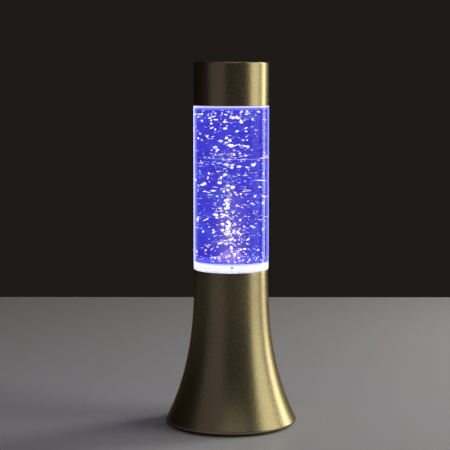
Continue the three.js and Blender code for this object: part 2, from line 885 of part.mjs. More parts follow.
function tubeSolid() {
  const inner = tubeRadius - tubeWall;
  return turned([
    [inner, floorThick - seatStep],
    [tubeRadius, floorThick - seatStep],
    [tubeRadius, lidSeat],
    [inner, lidSeat],
  ], wideSides);
}

function lidSolid() {
  const neckRadiusInside = capRadius - capWall - fitGap;
  return turned([
    [portRadius, lidSeat - lidStep],
    [vesselInner, lidSeat - lidStep],
    [vesselInner, lidSeat],
    [tubeRadius, lidSeat],
    [tubeRadius, vesselHeight],
    [neckRadiusInside, vesselHeight],
    [neckRadiusInside, vesselHeight + lidNeck],
    [neckRadiusInside - lidNeckWall, vesselHeight + lidNeck],
    [neckRadiusInside - lidNeckWall, vesselHeight + lidWeb],
    [portBossRadius, vesselHeight + lidWeb],
    [portBossRadius, vesselHeight + portBossHeight],
    [portRadius, vesselHeight + portBossHeight],
  ], wideSides);
}

function plugSolid() {
  const head = vesselHeight + portBossHeight;
  return turned([
    [0, lidSeat],
    [portRadius - fitGap, lidSeat],
    [portRadius - fitGap, head],
    [plugHeadRadius, head],
    [plugHeadRadius, head + plugHead],
    [0, head + plugHead],
  ], midSides);
}

function liquidSolid() {
  const column = rod(vesselInner, floorThick, lidSeat - lidStep - bubbleGap, wideSides);
  const pocket = rod(
    stirrerRadius + pocketGap,
    floorThick - overrun,
    floorThick + runGap + stirrerHeight + pocketGap,
    midSides,
  );
  return cut(column, pocket);
}

// Stirrer: a low disc with a cone and four vanes, open underneath for its pin and magnets
function stirrerSolid() {
  const cone = turned([
    [0, 0],
    [stirrerRadius, 0],
    [stirrerRadius, stirrerBase],
    [stirrerConeRadius, stirrerBase],
    [stirrerTipRadius, stirrerHeight - stirrerTipEdge],
    [stirrerTipRadius - stirrerTipEdge, stirrerHeight],
    [0, stirrerHeight],
  ], midSides);
  const vanes = [];
  for (let vane = 0; vane < vaneCount; vane += 1) {
    const geometry = new THREE.BoxGeometry(stirrerRadius - stirrerTipRadius, 2 * vaneHalf, vaneHeight);
    geometry.translate((stirrerRadius + stirrerTipRadius) / 2, 0, stirrerBase + vaneHeight / 2);
    geometry.rotateZ(2 * Math.PI * (vane + 1 / 2) / vaneCount);
    vanes.push(solid(geometry));
  }
  const vaneLimit = rod(stirrerRadius, 0, stirrerHeight, midSides);
  const bore = rod(pinRadius + runGap, -overrun, pinHeight, smallSides);
  const pockets = [-1, 1].map((side) => (
    rod(stirrerMagnetRadius + fitGap, -overrun, stirrerMagnetThick + fitGap, smallSides,
      [side * stirrerMagnetPlace, 0, 0])
  ));
  return cut(joined(cone, joined(...vanes).intersect(vaneLimit)), bore, ...pockets);
}

function pinSolid() {
  return rod(pinRadius, floorThick - pinRoot, floorThick + pinHeight, smallSides);
}

// The cap stands on z = 0 at its open rim
function capSolid() {
  const outline = [[capRadius - capWall, 0], [capRadius, 0]];
  for (let step = 0; step <= capEdgeSteps; step += 1) {
    const turn = Math.PI / 2 * step / capEdgeSteps;
    outline.push([
      capRadius - capEdge + capEdge * Math.cos(turn),
      capHeight - capEdge + capEdge * Math.sin(turn),
    ]);
  }
  outline.push([0, capHeight], [0, capHeight - capTop], [capRadius - capWall, capHeight - capTop]);
  return turned(outline, wideSides);
}

// A lead follows a smooth line through its points
function leadSolid(points) {
  const line = new THREE.CatmullRomCurve3(points.map((point) => new THREE.Vector3(...point)));
  const geometry = new THREE.ExtrudeGeometry(ringOf(leadRadius, leadSides), {
    steps: Math.ceil(line.getLength() / leadStep),
    extrudePath: line,
  });
  return solid(geometry);
}

// A point near the shell's inner wall, at a height and a turn about the axis in degrees
function wallPoint(height, degrees, gap) {
  const radius = innerRadius(height) - gap;
  const turn = THREE.MathUtils.degToRad(degrees);
  return [radius * Math.cos(turn), radius * Math.sin(turn), height];
}

// The last stretch of a lead: up through a side notch and over onto the board, on one side of it
function boardEnd(side, shift) {
  const notchPlace = side * (lugPlace - leadRadius);
  const padPlace = side * (lugPlace - lugBossRadius - notchGap - 2 * leadRadius);
  const arch = boardTop + 4 * leadRadius;
  return [
    [notchPlace, shift, carrierUnder],
    [notchPlace, shift, boardTop + leadRadius],
    [(notchPlace + padPlace) / 2, shift, arch],
    [padPlace, shift, boardTop + 2 * leadRadius],
    [padPlace, shift, boardTop + endGap],
  ];
}

function leadRoutes() {
  const tabY = bayHalfY - tabLength;
  const tabZ = bayTop + endGap + contactThick;
  const aboveBay = tabZ + 4 * leadRadius;
  const switchPin = switchTop + endGap;
  const pinShift = switchTravel;
  const terminalEnd = motorUnder - terminalLength;
  const notchShift = 2.5 * leadRadius;
  const wallGap = 3 * leadRadius;
  const besideSleeve = (side, height) => [
    side * (motorRadius + carrierWall + 5 * leadRadius),
    -(lugHalf + 3 * leadRadius),
    height,
  ];
  const motorLead = (side) => [
    ...boardEnd(side, -notchShift).reverse(),
    besideSleeve(side, lugUnder + lugThick + lugBossHeight),
    besideSleeve(side, lugUnder),
    [side * (terminalPlace + 4 * leadRadius), -lugHalf, terminalEnd - 2 * leadRadius],
    [side * terminalPlace, 0, terminalEnd - 3 * leadRadius],
    [side * terminalPlace, 0, terminalEnd - endGap],
  ];
  return {
    lead_battery_switch: [
      [-tabPlace, tabY, tabZ + endGap],
      [-tabPlace, tabY - 2 * leadRadius, aboveBay],
      [0, tabY / 2, aboveBay + leadRadius],
      [bayHalfX - wallGap, 0, aboveBay],
      [switchX - wallGap, -pinShift / 2, aboveBay - leadRadius],
      [switchX, -pinShift, switchPin + 2 * leadRadius],
      [switchX, -pinShift, switchPin],
    ],
    lead_switch_board: [
      [switchX, pinShift, switchPin],
      [switchX, pinShift, switchPin + 3 * leadRadius],
      wallPoint(aboveBay + 5 * leadRadius, lowLeadTurn, wallGap),
      wallPoint(lugUnder - 8 * leadRadius, wallLeadTurn, wallGap),
      wallPoint(lugUnder + lugBossHeight, wallLeadTurn, wallGap),
      ...boardEnd(1, notchShift),
    ],
    lead_battery_board: [
      [tabPlace, -tabY, tabZ + endGap],
      [tabPlace, -tabY + 2 * leadRadius, aboveBay],
      [0, -tabY / 2, aboveBay + leadRadius],
      [-bayHalfX + wallGap, 0, aboveBay + 2 * leadRadius],
      wallPoint(lugUnder - 8 * leadRadius, 180 - wallLeadTurn, wallGap),
      wallPoint(lugUnder + lugBossHeight, 180 - wallLeadTurn, wallGap),
      ...boardEnd(-1, notchShift),
    ],
    lead_motor_red: motorLead(1),
    lead_motor_black: motorLead(-1),
  };
}

function basePieces() {
  const group = new THREE.Group();
  group.add(piece('base_shell', shellSolid(), 'champagnePaint'));
  group.add(piece('bottom_cover', coverSolid(), 'blackPlastic'));
  group.add(piece('battery_door', doorSolid(), 'blackPlastic', [0, -doorHalfY, coverBase]));
  const screw = screwSolid(screwHeadRadius, screwHead, screwRadius, screwLength);
  fourCorners(coverScrewX, coverScrewY).forEach(([x, y], index) => {
    const place = [x, y, coverBase + headSink];
    group.add(piece(`cover_screw_${index + 1}`, screw, 'steel', place));
  });
  fourCorners(footSpread, footSpread).forEach(([x, y], index) => {
    group.add(piece(`foot_${index + 1}`, footSolid(), 'rubber', [x, y, 0]));
  });
  const switchPlace = [switchX, 0, 0];
  group.add(piece('switch_housing', switchHousingSolid(), 'blackPlastic', switchPlace));
  const sliderPlace = [switchX, -switchTravel / 2, 0];
  group.add(piece('switch_slider', switchSliderSolid(), 'whitePlastic', sliderPlace));
  return group;
}

// Cells lie along y in turn about, so each joins the next at one end of the bay
function batteryPieces() {
  const group = new THREE.Group();
  [-1, 0, 1].forEach((column, index) => {
    const end = column === 0 ? -1 : 1;
    const turn = [-end * Math.PI / 2, 0, 0];
    const x = column * cellPitch;
    const cellPlace = [x, end * (cellEnd - cellLength), cellAxis];
    group.add(piece(`battery_cell_${index + 1}`, cellSolid(), 'cellJacket', cellPlace, turn));
    const springPlace = [x, -end * cellEnd, cellAxis];
    group.add(piece(`contact_spring_${index + 1}`, springSolid(), 'nickel', springPlace, turn));
  });
  const reach = cellPitch + contactHalf;
  const leftInner = -cellPitch + contactHalf;
  const rightInner = cellPitch - contactHalf;
  const positive = contactSolid(1, -reach, leftInner, -tabPlace);
  const negative = contactSolid(-1, rightInner, reach, tabPlace);
  group.add(piece('contact_positive', positive, 'nickel'));
  group.add(piece('contact_negative', negative, 'nickel'));
  group.add(piece('contact_bridge_front', contactSolid(-1, -reach, contactHalf), 'nickel'));
  group.add(piece('contact_bridge_rear', contactSolid(1, -contactHalf, reach), 'nickel'));
  console.log(`contact spring: least gap to itself ${springSelfGap().toFixed(2)} mm`);
  return group;
}

function drivePieces() {
  const group = new THREE.Group();
  group.add(piece('motor_carrier', carrierSolid(), 'whitePlastic', [0, 0, carrierUnder]));
  const screw = screwSolid(screwHeadRadius, screwHead, screwRadius, screwLength);
  const boardScrew = screwSolid(
    boardScrewHeadRadius,
    boardScrewHead,
    boardScrewRadius,
    boardScrewLength,
  );
  [-1, 1].forEach((side, index) => {
    const number = index + 1;
    const lugPosition = [side * lugPlace, 0, lugUnder - screwHead];
    group.add(piece(`carrier_screw_${number}`, screw, 'steel', lugPosition));
    const boardPosition = [0, side * boardScrewPlace, boardTop + boardScrewHead];
    group.add(piece(`board_screw_${number}`, boardScrew, 'steel', boardPosition, [Math.PI, 0, 0]));
    const motorPlace = [0, 0, motorUnder];
    group.add(piece(`field_magnet_${number}`, fieldMagnetSolid(side), 'ferrite', motorPlace));
    const terminal = [side * terminalPlace, 0, motorUnder];
    group.add(piece(`motor_terminal_${number}`, motorTerminalSolid(), 'brass', terminal));
    const magnet = magnetSolid(driveMagnetRadius, driveMagnetThick);
    const magnetPlace = [side * driveMagnetPlace, 0, hubTop - driveMagnetThick];
    group.add(piece(`drive_magnet_${number}`, magnet, 'magnet', magnetPlace));
  });
  group.add(piece('motor_can', motorCanSolid(), 'steel', [0, 0, motorUnder]));
  group.add(piece('motor_end_cap', motorEndCapSolid(), 'whitePlastic', [0, 0, motorUnder]));
  group.add(piece('motor_armature', armatureSolid(), 'copper', [0, 0, motorUnder]));
  group.add(piece('motor_shaft', shaftSolid(), 'steel'));
  group.add(piece('drive_hub', hubSolid(), 'whitePlastic', [0, 0, hubTop]));
  return group;
}

function lightPieces() {
  const group = new THREE.Group();
  group.add(piece('led_board', boardSolid(), 'boardGreen', [0, 0, carrierTop]));
  for (let index = 0; index < ledCount; index += 1) {
    const turn = 2 * Math.PI * (index + 1 / 2) / ledCount;
    const place = [ledPlace * Math.cos(turn), ledPlace * Math.sin(turn), boardTop];
    group.add(piece(`led_${index + 1}`, ledSolid(), 'ledBlue', place));
  }
  group.add(piece('led_resistor', resistorSolid(), 'resistorTan', [0, -resistorPlace, boardTop]));
  return group;
}

function vesselPieces() {
  const group = new THREE.Group();
  group.position.z = baseHeight;
  group.add(piece('vessel_floor', vesselFloorSolid(), 'clearAcrylic'));
  group.add(piece('vessel_tube', tubeSolid(), 'clearAcrylic'));
  group.add(piece('vessel_lid', lidSolid(), 'clearAcrylic'));
  group.add(piece('fill_plug', plugSolid(), 'whitePlastic'));
  group.add(piece('glitter_liquid', liquidSolid(), 'blueLiquid'));
  group.add(piece('stirrer_pin', pinSolid(), 'steel'));
  const stirrerSeat = floorThick + runGap;
  group.add(piece('stirrer', stirrerSolid(), 'clearStirrer', [0, 0, stirrerSeat]));
  [-1, 1].forEach((side, index) => {
    const magnet = magnetSolid(stirrerMagnetRadius, stirrerMagnetThick);
    const place = [side * stirrerMagnetPlace, 0, stirrerSeat];
    group.add(piece(`stirrer_magnet_${index + 1}`, magnet, 'magnet', place));
  });
  group.add(piece('top_cap', capSolid(), 'champagnePaint', [0, 0, vesselHeight]));
  return group;
}

function leadPieces() {
  const group = new THREE.Group();
  const black = ['lead_battery_board', 'lead_motor_black'];
  for (const [name, points] of Object.entries(leadRoutes())) {
    group.add(piece(name, leadSolid(points), black.includes(name) ? 'blackLead' : 'redLead'));
  }
  return group;
}

const lamp = new THREE.Group();
lamp.add(basePieces());
lamp.add(batteryPieces());
lamp.add(drivePieces());
lamp.add(lightPieces());
lamp.add(vesselPieces());
lamp.add(leadPieces());

export default lamp;
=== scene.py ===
# Glitter lamp: fine surfaces, finishes, flakes, studio and camera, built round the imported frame
import json
import math

import bpy
import numpy as np
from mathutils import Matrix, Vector


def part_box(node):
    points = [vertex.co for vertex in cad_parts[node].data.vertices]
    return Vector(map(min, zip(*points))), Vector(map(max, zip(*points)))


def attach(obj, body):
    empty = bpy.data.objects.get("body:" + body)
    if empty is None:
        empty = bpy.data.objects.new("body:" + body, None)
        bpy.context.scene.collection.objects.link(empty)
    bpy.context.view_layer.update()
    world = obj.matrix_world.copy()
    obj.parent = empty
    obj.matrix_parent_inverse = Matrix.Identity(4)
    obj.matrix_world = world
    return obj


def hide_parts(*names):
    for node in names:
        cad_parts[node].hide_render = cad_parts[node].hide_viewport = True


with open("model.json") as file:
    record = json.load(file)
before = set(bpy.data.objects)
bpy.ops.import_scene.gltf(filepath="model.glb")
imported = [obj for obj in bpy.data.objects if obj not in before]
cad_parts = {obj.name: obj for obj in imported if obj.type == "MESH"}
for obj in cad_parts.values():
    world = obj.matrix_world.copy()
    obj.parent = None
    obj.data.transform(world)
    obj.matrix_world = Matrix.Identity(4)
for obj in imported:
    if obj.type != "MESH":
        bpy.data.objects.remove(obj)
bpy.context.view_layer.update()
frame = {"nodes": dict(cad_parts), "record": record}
nodeSlots = {row["node"]: row["material_slot"] for row in frame["record"]["subparts"]}
print("frame loaded:", len(frame["nodes"]), "nodes")

millimetre = 0.001


# Camera, set at the photograph's viewing angle

cameraView = {
    "distance": 0.771,
    "height": 0.18865,
    "pitchDown": 6.02,
    "yaw": 0.245,
    "focalPixels": 1450,
    "framePixels": 450,
    "sensor": 36.0,
}


def placeCamera(view):
    # the lens is the focal length in pixels times the sensor width over the frame width
    camera = bpy.data.objects.new("camera", bpy.data.cameras.new("camera"))
    bpy.context.scene.collection.objects.link(camera)
    camera.data.sensor_width = view["sensor"]
    camera.data.lens = view["focalPixels"] * view["sensor"] / view["framePixels"]
    camera.location = (0, -view["distance"], view["height"])
    camera.rotation_euler = (math.radians(90 - view["pitchDown"]), 0, math.radians(view["yaw"]))
    bpy.context.scene.camera = camera


placeCamera(cameraView)
print("camera placed")


# Mesh tools: a row nearer to the axis than its reach is one point, and sharp is in degrees

meshing = {
    "axisReach": 1e-9,
    "easeShare": 0.25,
    "sharp": 35,
}


def signedVolume(points, triangles):
    # a sixth of the sum of a . (b x c) over the triangles
    a, b, c = (points[triangles[:, corner]] for corner in range(3))
    return np.einsum("ij,ij->i", a, np.cross(b, c)).sum() / 6


def outwardFaces(points, quads, triangles):
    # a quad counts as two triangles; all faces turn round together when the volume comes out negative
    halves = [quads[:, [0, 1, 2]], quads[:, [0, 2, 3]], triangles]
    if signedVolume(points, np.concatenate(halves)) < 0:
        return quads[:, ::-1], triangles[:, ::-1]
    return quads, triangles


def turnedSurface(profile, sides):
    # point (i, j) is (r_i cos t_j, r_i sin t_j, z_i) with t_j = 2 pi j / sides; a row on the axis is one
    # point, and a profile that stays off the axis is closed into a ring
    profile = np.asarray(profile, float)
    onAxis = profile[:, 0] < meshing["axisReach"]
    turns = 2 * np.pi * np.arange(sides) / sides
    ring = np.stack([np.cos(turns), np.sin(turns)], axis=1)
    grid = np.empty((len(profile), sides, 3))
    grid[..., :2] = profile[:, None, :1] * ring
    grid[..., 2] = profile[:, 1:2]
    kept = np.ones(grid.shape[:2], bool)
    kept[onAxis, 1:] = False
    first = np.concatenate([[0], np.cumsum(kept.sum(1))[:-1]])
    index = first[:, None] + np.where(onAxis[:, None], 0, np.arange(sides))
    closed = not onAxis.any()
    low = index if closed else index[:-1]
    high = np.roll(index, -1, axis=0) if closed else index[1:]
    lowAxis = onAxis if closed else onAxis[:-1]
    highAxis = np.roll(onAxis, -1) if closed else onAxis[1:]
    lowNext, highNext = np.roll(low, -1, axis=1), np.roll(high, -1, axis=1)
    plain = ~(lowAxis | highAxis)
    quads = np.stack([low, lowNext, highNext, high], axis=-1)[plain].reshape(-1, 4)
    lowFans = np.stack([low, highNext, high], axis=-1)[lowAxis & ~highAxis].reshape(-1, 3)
    highFans = np.stack([low, lowNext, high], axis=-1)[highAxis & ~lowAxis].reshape(-1, 3)
    points = grid[kept]
    return (points, *outwardFaces(points, quads, np.concatenate([lowFans, highFans])))


def roundedOutline(corners, steps, loop=True):
    # a corner (r, z, fillet) becomes an arc that touches both edges: its centre lies on the corner's
    # bisector at fillet / sin(half angle), and its ends at fillet / tan(half angle) along the edges; a
    # point a share of the fillet past each end keeps the smooth shading of the straight edges straight
    places = [np.array(corner[:2], float) for corner in corners]
    outline = []
    for number, here in enumerate(places):
        fillet = corners[number][2] if len(corners[number]) > 2 else 0
        atEnd = not loop and number in (0, len(places) - 1)
        if fillet == 0 or atEnd:
            outline.append(here)
            continue
        back = places[number - 1] - here
        ahead = places[(number + 1) % len(places)] - here
        back, ahead = back / np.linalg.norm(back), ahead / np.linalg.norm(ahead)
        half = np.arccos(np.clip(back @ ahead, -1, 1)) / 2
        bisector = (back + ahead) / np.linalg.norm(back + ahead)
        centre = here + bisector * fillet / np.sin(half)
        start = here + back * fillet / np.tan(half) - centre
        end = here + ahead * fillet / np.tan(half) - centre
        sweep = np.pi - 2 * half
        share = np.linspace(0, 1, steps + 1)[:, None]
        arc = (np.sin((1 - share) * sweep) * start + np.sin(share * sweep) * end) / np.sin(sweep)
        outline.append(centre + start + back * fillet * meshing["easeShare"])
        outline.extend(centre + arc)
        outline.append(centre + end + ahead * fillet * meshing["easeShare"])
    return np.array(outline)


def turnedOutline(values, corners):
    # a piece's section, rounded and turned round the axis; one that starts on the axis is open there
    outline = roundedOutline(corners, values["steps"], loop=corners[0][0] > 0)
    return turnedSurface(outline, values["sides"])


def merged(*surfaces):
    # points one after another, with each surface's face numbers moved on by the points before it
    points, quads, triangles, count = [], [], [], 0
    for place, fours, threes in surfaces:
        points.append(place)
        quads.append(fours + count)
        triangles.append(threes + count)
        count += len(place)
    return np.concatenate(points), np.concatenate(quads), np.concatenate(triangles)


def shifted(surface, offset):
    # every point moved by the same offset
    points, quads, triangles = surface
    return points + np.asarray(offset, float), quads, triangles


def slabSurface(faces):
    # two equal outlines, point i of one joined to point i of the other, each closed by a fan round its middle
    count = len(faces[0])
    ring = np.arange(count)
    ahead = np.roll(ring, -1)
    quads = np.stack([ring, ahead, ahead + count, ring + count], axis=1)
    caps = np.concatenate([
        np.stack([np.full(count, 2 * count), ahead, ring], axis=1),
        np.stack([np.full(count, 2 * count + 1), ring + count, ahead + count], axis=1),
    ])
    points = np.concatenate([*faces, *(face.mean(0, keepdims=True) for face in faces)])
    return (points, *outwardFaces(points, quads, caps))


def newObject(name, surface, finish, sharp):
    # smooth shading up to the sharp angle
    points, quads, triangles = surface
    mesh = bpy.data.meshes.new(name)
    mesh.from_pydata(points.tolist(), [], quads.tolist() + triangles.tolist())
    mesh.polygons.foreach_set("use_smooth", np.ones(len(mesh.polygons), bool))
    mesh.set_sharp_from_angle(angle=math.radians(sharp))
    mesh.materials.append(finish)
    mesh.update()
    item = bpy.data.objects.new(name, mesh)
    bpy.context.scene.collection.objects.link(item)
    return item


def makePiece(name, surface, finish, body, stands=(), sharp=meshing["sharp"]):
    piece = newObject(name, surface, finish, sharp)
    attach(piece, body)
    if stands:
        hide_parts(*stands)
    return piece


# Node tools for the finishes. Most of a noise's values lie within its span.

noiseSpan = (0.3, 0.7)


def fill(tree, node, inputs):
    # each input takes a link from another node or a plain value, and a colour is (r, g, b)
    for name, value in inputs.items():
        socket = node.inputs[name]
        if isinstance(value, bpy.types.NodeSocket):
            tree.links.new(value, socket)
        else:
            socket.default_value = (*value, 1) if socket.type == "RGBA" else value


def newNode(tree, kind, inputs, operation=None):
    # a node of the kind, with its operation chosen where it has one
    node = tree.nodes.new(kind)
    if operation:
        node.operation = operation
    fill(tree, node, inputs)
    return node


def newFinish(name, colour, roughness, metallic=0.0):
    # what glows lights its surroundings by chance rays alone, because rays aimed at every face are slow
    finish = bpy.data.materials.new(name)
    finish.cycles.emission_sampling = "NONE"
    finish.use_nodes = True
    tree, shader = finish.node_tree, finish.node_tree.nodes["Principled BSDF"]
    fill(tree, shader, {"Base Color": colour, "Roughness": roughness, "Metallic": metallic})
    return finish, tree, shader


def objectPlace(tree):
    # the place on the piece, in metres from the lamp's origin
    return newNode(tree, "ShaderNodeTexCoord", {}).outputs["Object"]


def grain(tree, scale, detail=2.0, stretch=(1, 1, 1)):
    # noise; scale is in grains per metre
    mapping = newNode(tree, "ShaderNodeMapping", {"Vector": objectPlace(tree), "Scale": stretch})
    return newNode(tree, "ShaderNodeTexNoise", {
        "Vector": mapping.outputs["Vector"], "Scale": scale, "Detail": detail,
    }).outputs["Fac"]


def spread(tree, value, fromLow, fromHigh, toLow, toHigh):
    # a straight line from one range to another, held at its ends
    return newNode(tree, "ShaderNodeMapRange", {
        "Value": value, "From Min": fromLow, "From Max": fromHigh, "To Min": toLow, "To Max": toHigh,
    }).outputs["Result"]


def ramp(tree, value, *stops):
    # a colour for each stop (place, (r, g, b)), blended in between; a new stop starts at the high end
    node = newNode(tree, "ShaderNodeValToRGB", {"Fac": value})
    while len(node.color_ramp.elements) < len(stops):
        node.color_ramp.elements.new(1)
    for element, (place, colour) in zip(node.color_ramp.elements, stops):
        element.position = place
        element.color = (*colour, 1)
    return node.outputs["Color"]


def relief(tree, height, distance):
    # the height's full range is the distance, in metres
    return newNode(tree, "ShaderNodeBump", {"Distance": distance, "Height": height}).outputs["Normal"]


def combined(tree, operation, first, second):
    # a sum or another plain operation on two values
    return newNode(tree, "ShaderNodeMath", {0: first, 1: second}, operation).outputs["Value"]


def blended(tree, share, first, second):
    # one colour at share 0 and another at share 1
    mix = newNode(tree, "ShaderNodeMixRGB", {"Fac": share, "Color1": first, "Color2": second})
    return mix.outputs["Color"]


def axisPlace(tree, axis):
    # how far the place lies along one axis
    return newNode(tree, "ShaderNodeSeparateXYZ", {"Vector": objectPlace(tree)}).outputs[axis]


def axisDistance(tree):
    # the place's distance from the lamp's axis
    flat = newNode(tree, "ShaderNodeVectorMath", {0: objectPlace(tree), 1: (1, 1, 0)}, "MULTIPLY")
    return newNode(tree, "ShaderNodeVectorMath", {0: flat.outputs["Vector"]}, "LENGTH").outputs["Value"]


def pointDistance(tree, point):
    # the place's distance from a fixed point
    apart = newNode(tree, "ShaderNodeVectorMath", {0: objectPlace(tree), 1: point}, "DISTANCE")
    return apart.outputs["Value"]


# Painted base shell: a straight taper and a power curve down to a rounded rim

paint = {
    "edgeTint": (0.4, 0.36, 0.28),
    "dark": (0.33, 0.275, 0.15),
    "light": (0.5, 0.43, 0.25),
    "stops": (0.32, 0.68),
    "roughness": (0.25, 0.36),
    "flakesPerMetre": 2600,
    "flakeDetail": 1.0,
    "peelPerMetre": 420,
    "peelDetail": 3.0,
    "flakeRelief": 0.000009,
    "peelRelief": 0.000014,
}


def paintFinish(values):
    # fine metal flake in the colour and the gloss, and a shallow orange peel under it
    finish, tree, shader = newFinish("champagne paint", values["light"], values["roughness"][0], metallic=1.0)
    flake = grain(tree, values["flakesPerMetre"], values["flakeDetail"])
    peel = grain(tree, values["peelPerMetre"], values["peelDetail"])
    surface = combined(tree, "ADD", combined(tree, "MULTIPLY", flake, values["flakeRelief"]),
                       combined(tree, "MULTIPLY", peel, values["peelRelief"]))
    fill(tree, shader, {
        "Base Color": ramp(tree, flake, *zip(values["stops"], (values["dark"], values["light"]))),
        "Roughness": spread(tree, flake, *noiseSpan, *values["roughness"]),
        "Specular Tint": values["edgeTint"],
        "Normal": relief(tree, surface, 1.0),
    })
    return finish


paintMaterial = paintFinish(paint)

baseShell = {
    "neckRadius": 19.65 * millimetre,
    "neckTaper": 1.4 * millimetre,
    "flarePower": 2.8,
    "wall": 1.8 * millimetre,
    "rimEdge": 1.1 * millimetre,
    "rimLand": 1.5 * millimetre,
    "rimTurn": 0.148 * math.pi,
    "lipEdge": 0.25 * millimetre,
    "lipRows": 5,
    "rimRows": 14,
    "rows": 90,
    "innerRows": 40,
    "sides": 192,
}

shellLow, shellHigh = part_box("base_shell")
baseBottom, baseTop, baseRadius = shellLow.z, shellHigh.z, shellHigh.x
flareFoot = baseBottom + baseShell["rimEdge"] * (1 + math.sin(baseShell["rimTurn"]))
flareFootRadius = baseRadius - baseShell["rimEdge"] * (1 - math.cos(baseShell["rimTurn"]))
coverBore = baseRadius - baseShell["rimEdge"] - baseShell["rimLand"]


def flareRadius(height):
    # neck + taper * s + flare * s ** power, with s from 0 at the top to 1 at the flare's foot
    neck, taper = baseShell["neckRadius"], baseShell["neckTaper"]
    drop = np.maximum((baseTop - height) / (baseTop - flareFoot), 0)
    return neck + taper * drop + (flareFootRadius - neck - taper) * drop ** baseShell["flarePower"]


def arcRows(centre, radius, turns):
    # (r + radius cos t, z + radius sin t) round a centre (r, z)
    return np.stack([centre[0] + radius * np.cos(turns), centre[1] + radius * np.sin(turns)], axis=1)


def shellProfile(values):
    # up the outside from the rim's inner edge, over the lip and down the inside
    edge, lipEdge = values["rimEdge"], values["lipEdge"]
    rimTurns = np.linspace(-np.pi / 2, values["rimTurn"], values["rimRows"])
    rim = arcRows((baseRadius - edge, baseBottom + edge), edge, rimTurns)
    height = np.linspace(flareFoot, baseTop - lipEdge, values["rows"])[1:]
    outside = np.stack([flareRadius(height), height], axis=1)
    lipTurns = np.linspace(0, np.pi / 2, values["lipRows"])[1:]
    lip = arcRows((flareRadius(baseTop) - lipEdge, baseTop - lipEdge), lipEdge, lipTurns)
    height = np.linspace(baseTop, flareFoot, values["innerRows"])
    inside = np.stack([np.minimum(flareRadius(height) - values["wall"], coverBore), height], axis=1)
    return np.concatenate([[[coverBore, baseBottom]], rim, outside, lip, inside])


shellBosses = {
    "screwPlace": (23 * millimetre, 12 * millimetre),
    "radius": 3 * millimetre,
    "low": 7 * millimetre,
    "high": 22 * millimetre,
    "lugPlace": 15.8 * millimetre,
    "lugRadius": 2.6 * millimetre,
    "lugThick": 2.2 * millimetre,
    "lugHeight": 9 * millimetre,
    "bore": 1.25 * millimetre,
    "boreDepth": 8 * millimetre,
    "sides": 24,
    "rows": 10,
}


def bossSurface(values, radius, low, high, place):
    # a post with a blind hole in its lower end, pressed in where it would pass the middle of the shell's
    # wall: there each point's reach from the axis is cut to the limit
    height = np.linspace(low, high, values["rows"])
    wall = np.stack([np.full(len(height), radius), height], axis=1)
    holeTop = low + values["boreDepth"]
    profile = np.concatenate([
        [[0, holeTop], [values["bore"], holeTop], [values["bore"], low]], wall, [[0, high]],
    ])
    points, quads, triangles = turnedSurface(profile, values["sides"])
    points[:, :2] += place
    reach = np.hypot(points[:, 0], points[:, 1])
    limit = flareRadius(points[:, 2]) - baseShell["wall"] / 2
    points[:, :2] *= np.minimum(1, limit / reach)[:, None]
    return points, quads, triangles


def baseShellSurface(values):
    # the turned shell, four posts for the cover's screws and two lugs for the carrier's
    x, y = values["screwPlace"]
    posts = [
        bossSurface(values, values["radius"], values["low"], values["high"], (across * x, along * y))
        for across in (-1, 1) for along in (-1, 1)
    ]
    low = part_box("motor_carrier")[0].z + values["lugThick"]
    high = low + values["lugHeight"]
    lugs = [
        bossSurface(values, values["lugRadius"], low, high, (side * values["lugPlace"], 0))
        for side in (-1, 1)
    ]
    return merged(turnedSurface(shellProfile(baseShell), baseShell["sides"]), *posts, *lugs)


makePiece("painted_base", baseShellSurface(shellBosses), paintMaterial, "lamp",
          ["base_shell"])
print("base shell made")


# Top cap: a straight painted cup, upside down

topCap = {
    "wall": 1.4 * millimetre,
    "top": 1.6 * millimetre,
    "edge": 0.9 * millimetre,
    "innerEdge": 0.6 * millimetre,
    "lip": 0.2 * millimetre,
    "steps": 8,
    "sides": 192,
}

capLow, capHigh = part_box("top_cap")


def topCapSurface(values):
    # from the axis along the ceiling, down the inside, and up the outside back to the axis
    radius, inner = capHigh.x, capHigh.x - values["wall"]
    ceiling = capHigh.z - values["top"]
    return turnedOutline(values, [
        (0, ceiling),
        (inner, ceiling, values["innerEdge"]),
        (inner, capLow.z, values["lip"]),
        (radius, capLow.z, values["lip"]),
        (radius, capHigh.z, values["edge"]),
        (0, capHigh.z),
    ])


makePiece("painted_cap", topCapSurface(topCap), paintMaterial, "lamp", ["top_cap"])
print("cap made")


# Clear tube, lid and floor of the vessel

acrylic = {
    "tint": (0.97, 0.975, 1.0),
    "shine": (0.2, 0.2, 0.2),
    "roughness": (0.04, 0.05),
    "hazePerMetre": 220,
    "hazeDetail": 3.0,
    "index": 1.49,
    "edgeGlow": (0.8, 0.8, 1.0),
    "edgeStart": 0.1,
    "edgePower": 1.1,
    # the glow along the edge is painted light, painted stronger at the left side than at the right
    "paintedSideGlow": (2.2, 0.8),
}


def acrylicFinish(values):
    # clear acrylic with a painted glow along the edge of its wall, standing in for the lamp's light carried
    # in the wall, by a power of the Fresnel share above its start, and painted stronger at one side than at
    # the other
    finish, tree, shader = newFinish("clear acrylic", values["tint"], values["roughness"][0])
    haze = grain(tree, values["hazePerMetre"], values["hazeDetail"])
    fresnel = newNode(tree, "ShaderNodeFresnel", {"IOR": values["index"]}).outputs["Fac"]
    edge = combined(tree, "POWER", spread(tree, fresnel, values["edgeStart"], 1, 0, 1), values["edgePower"])
    across = spread(tree, axisPlace(tree, "X"), -tubeRadius, tubeRadius, *values["paintedSideGlow"])
    fill(tree, shader, {
        "Transmission Weight": 1.0,
        "IOR": values["index"],
        "Specular Tint": values["shine"],
        "Roughness": spread(tree, haze, *noiseSpan, *values["roughness"]),
        "Emission Color": values["edgeGlow"],
        "Emission Strength": combined(tree, "MULTIPLY", edge, across),
    })
    return finish


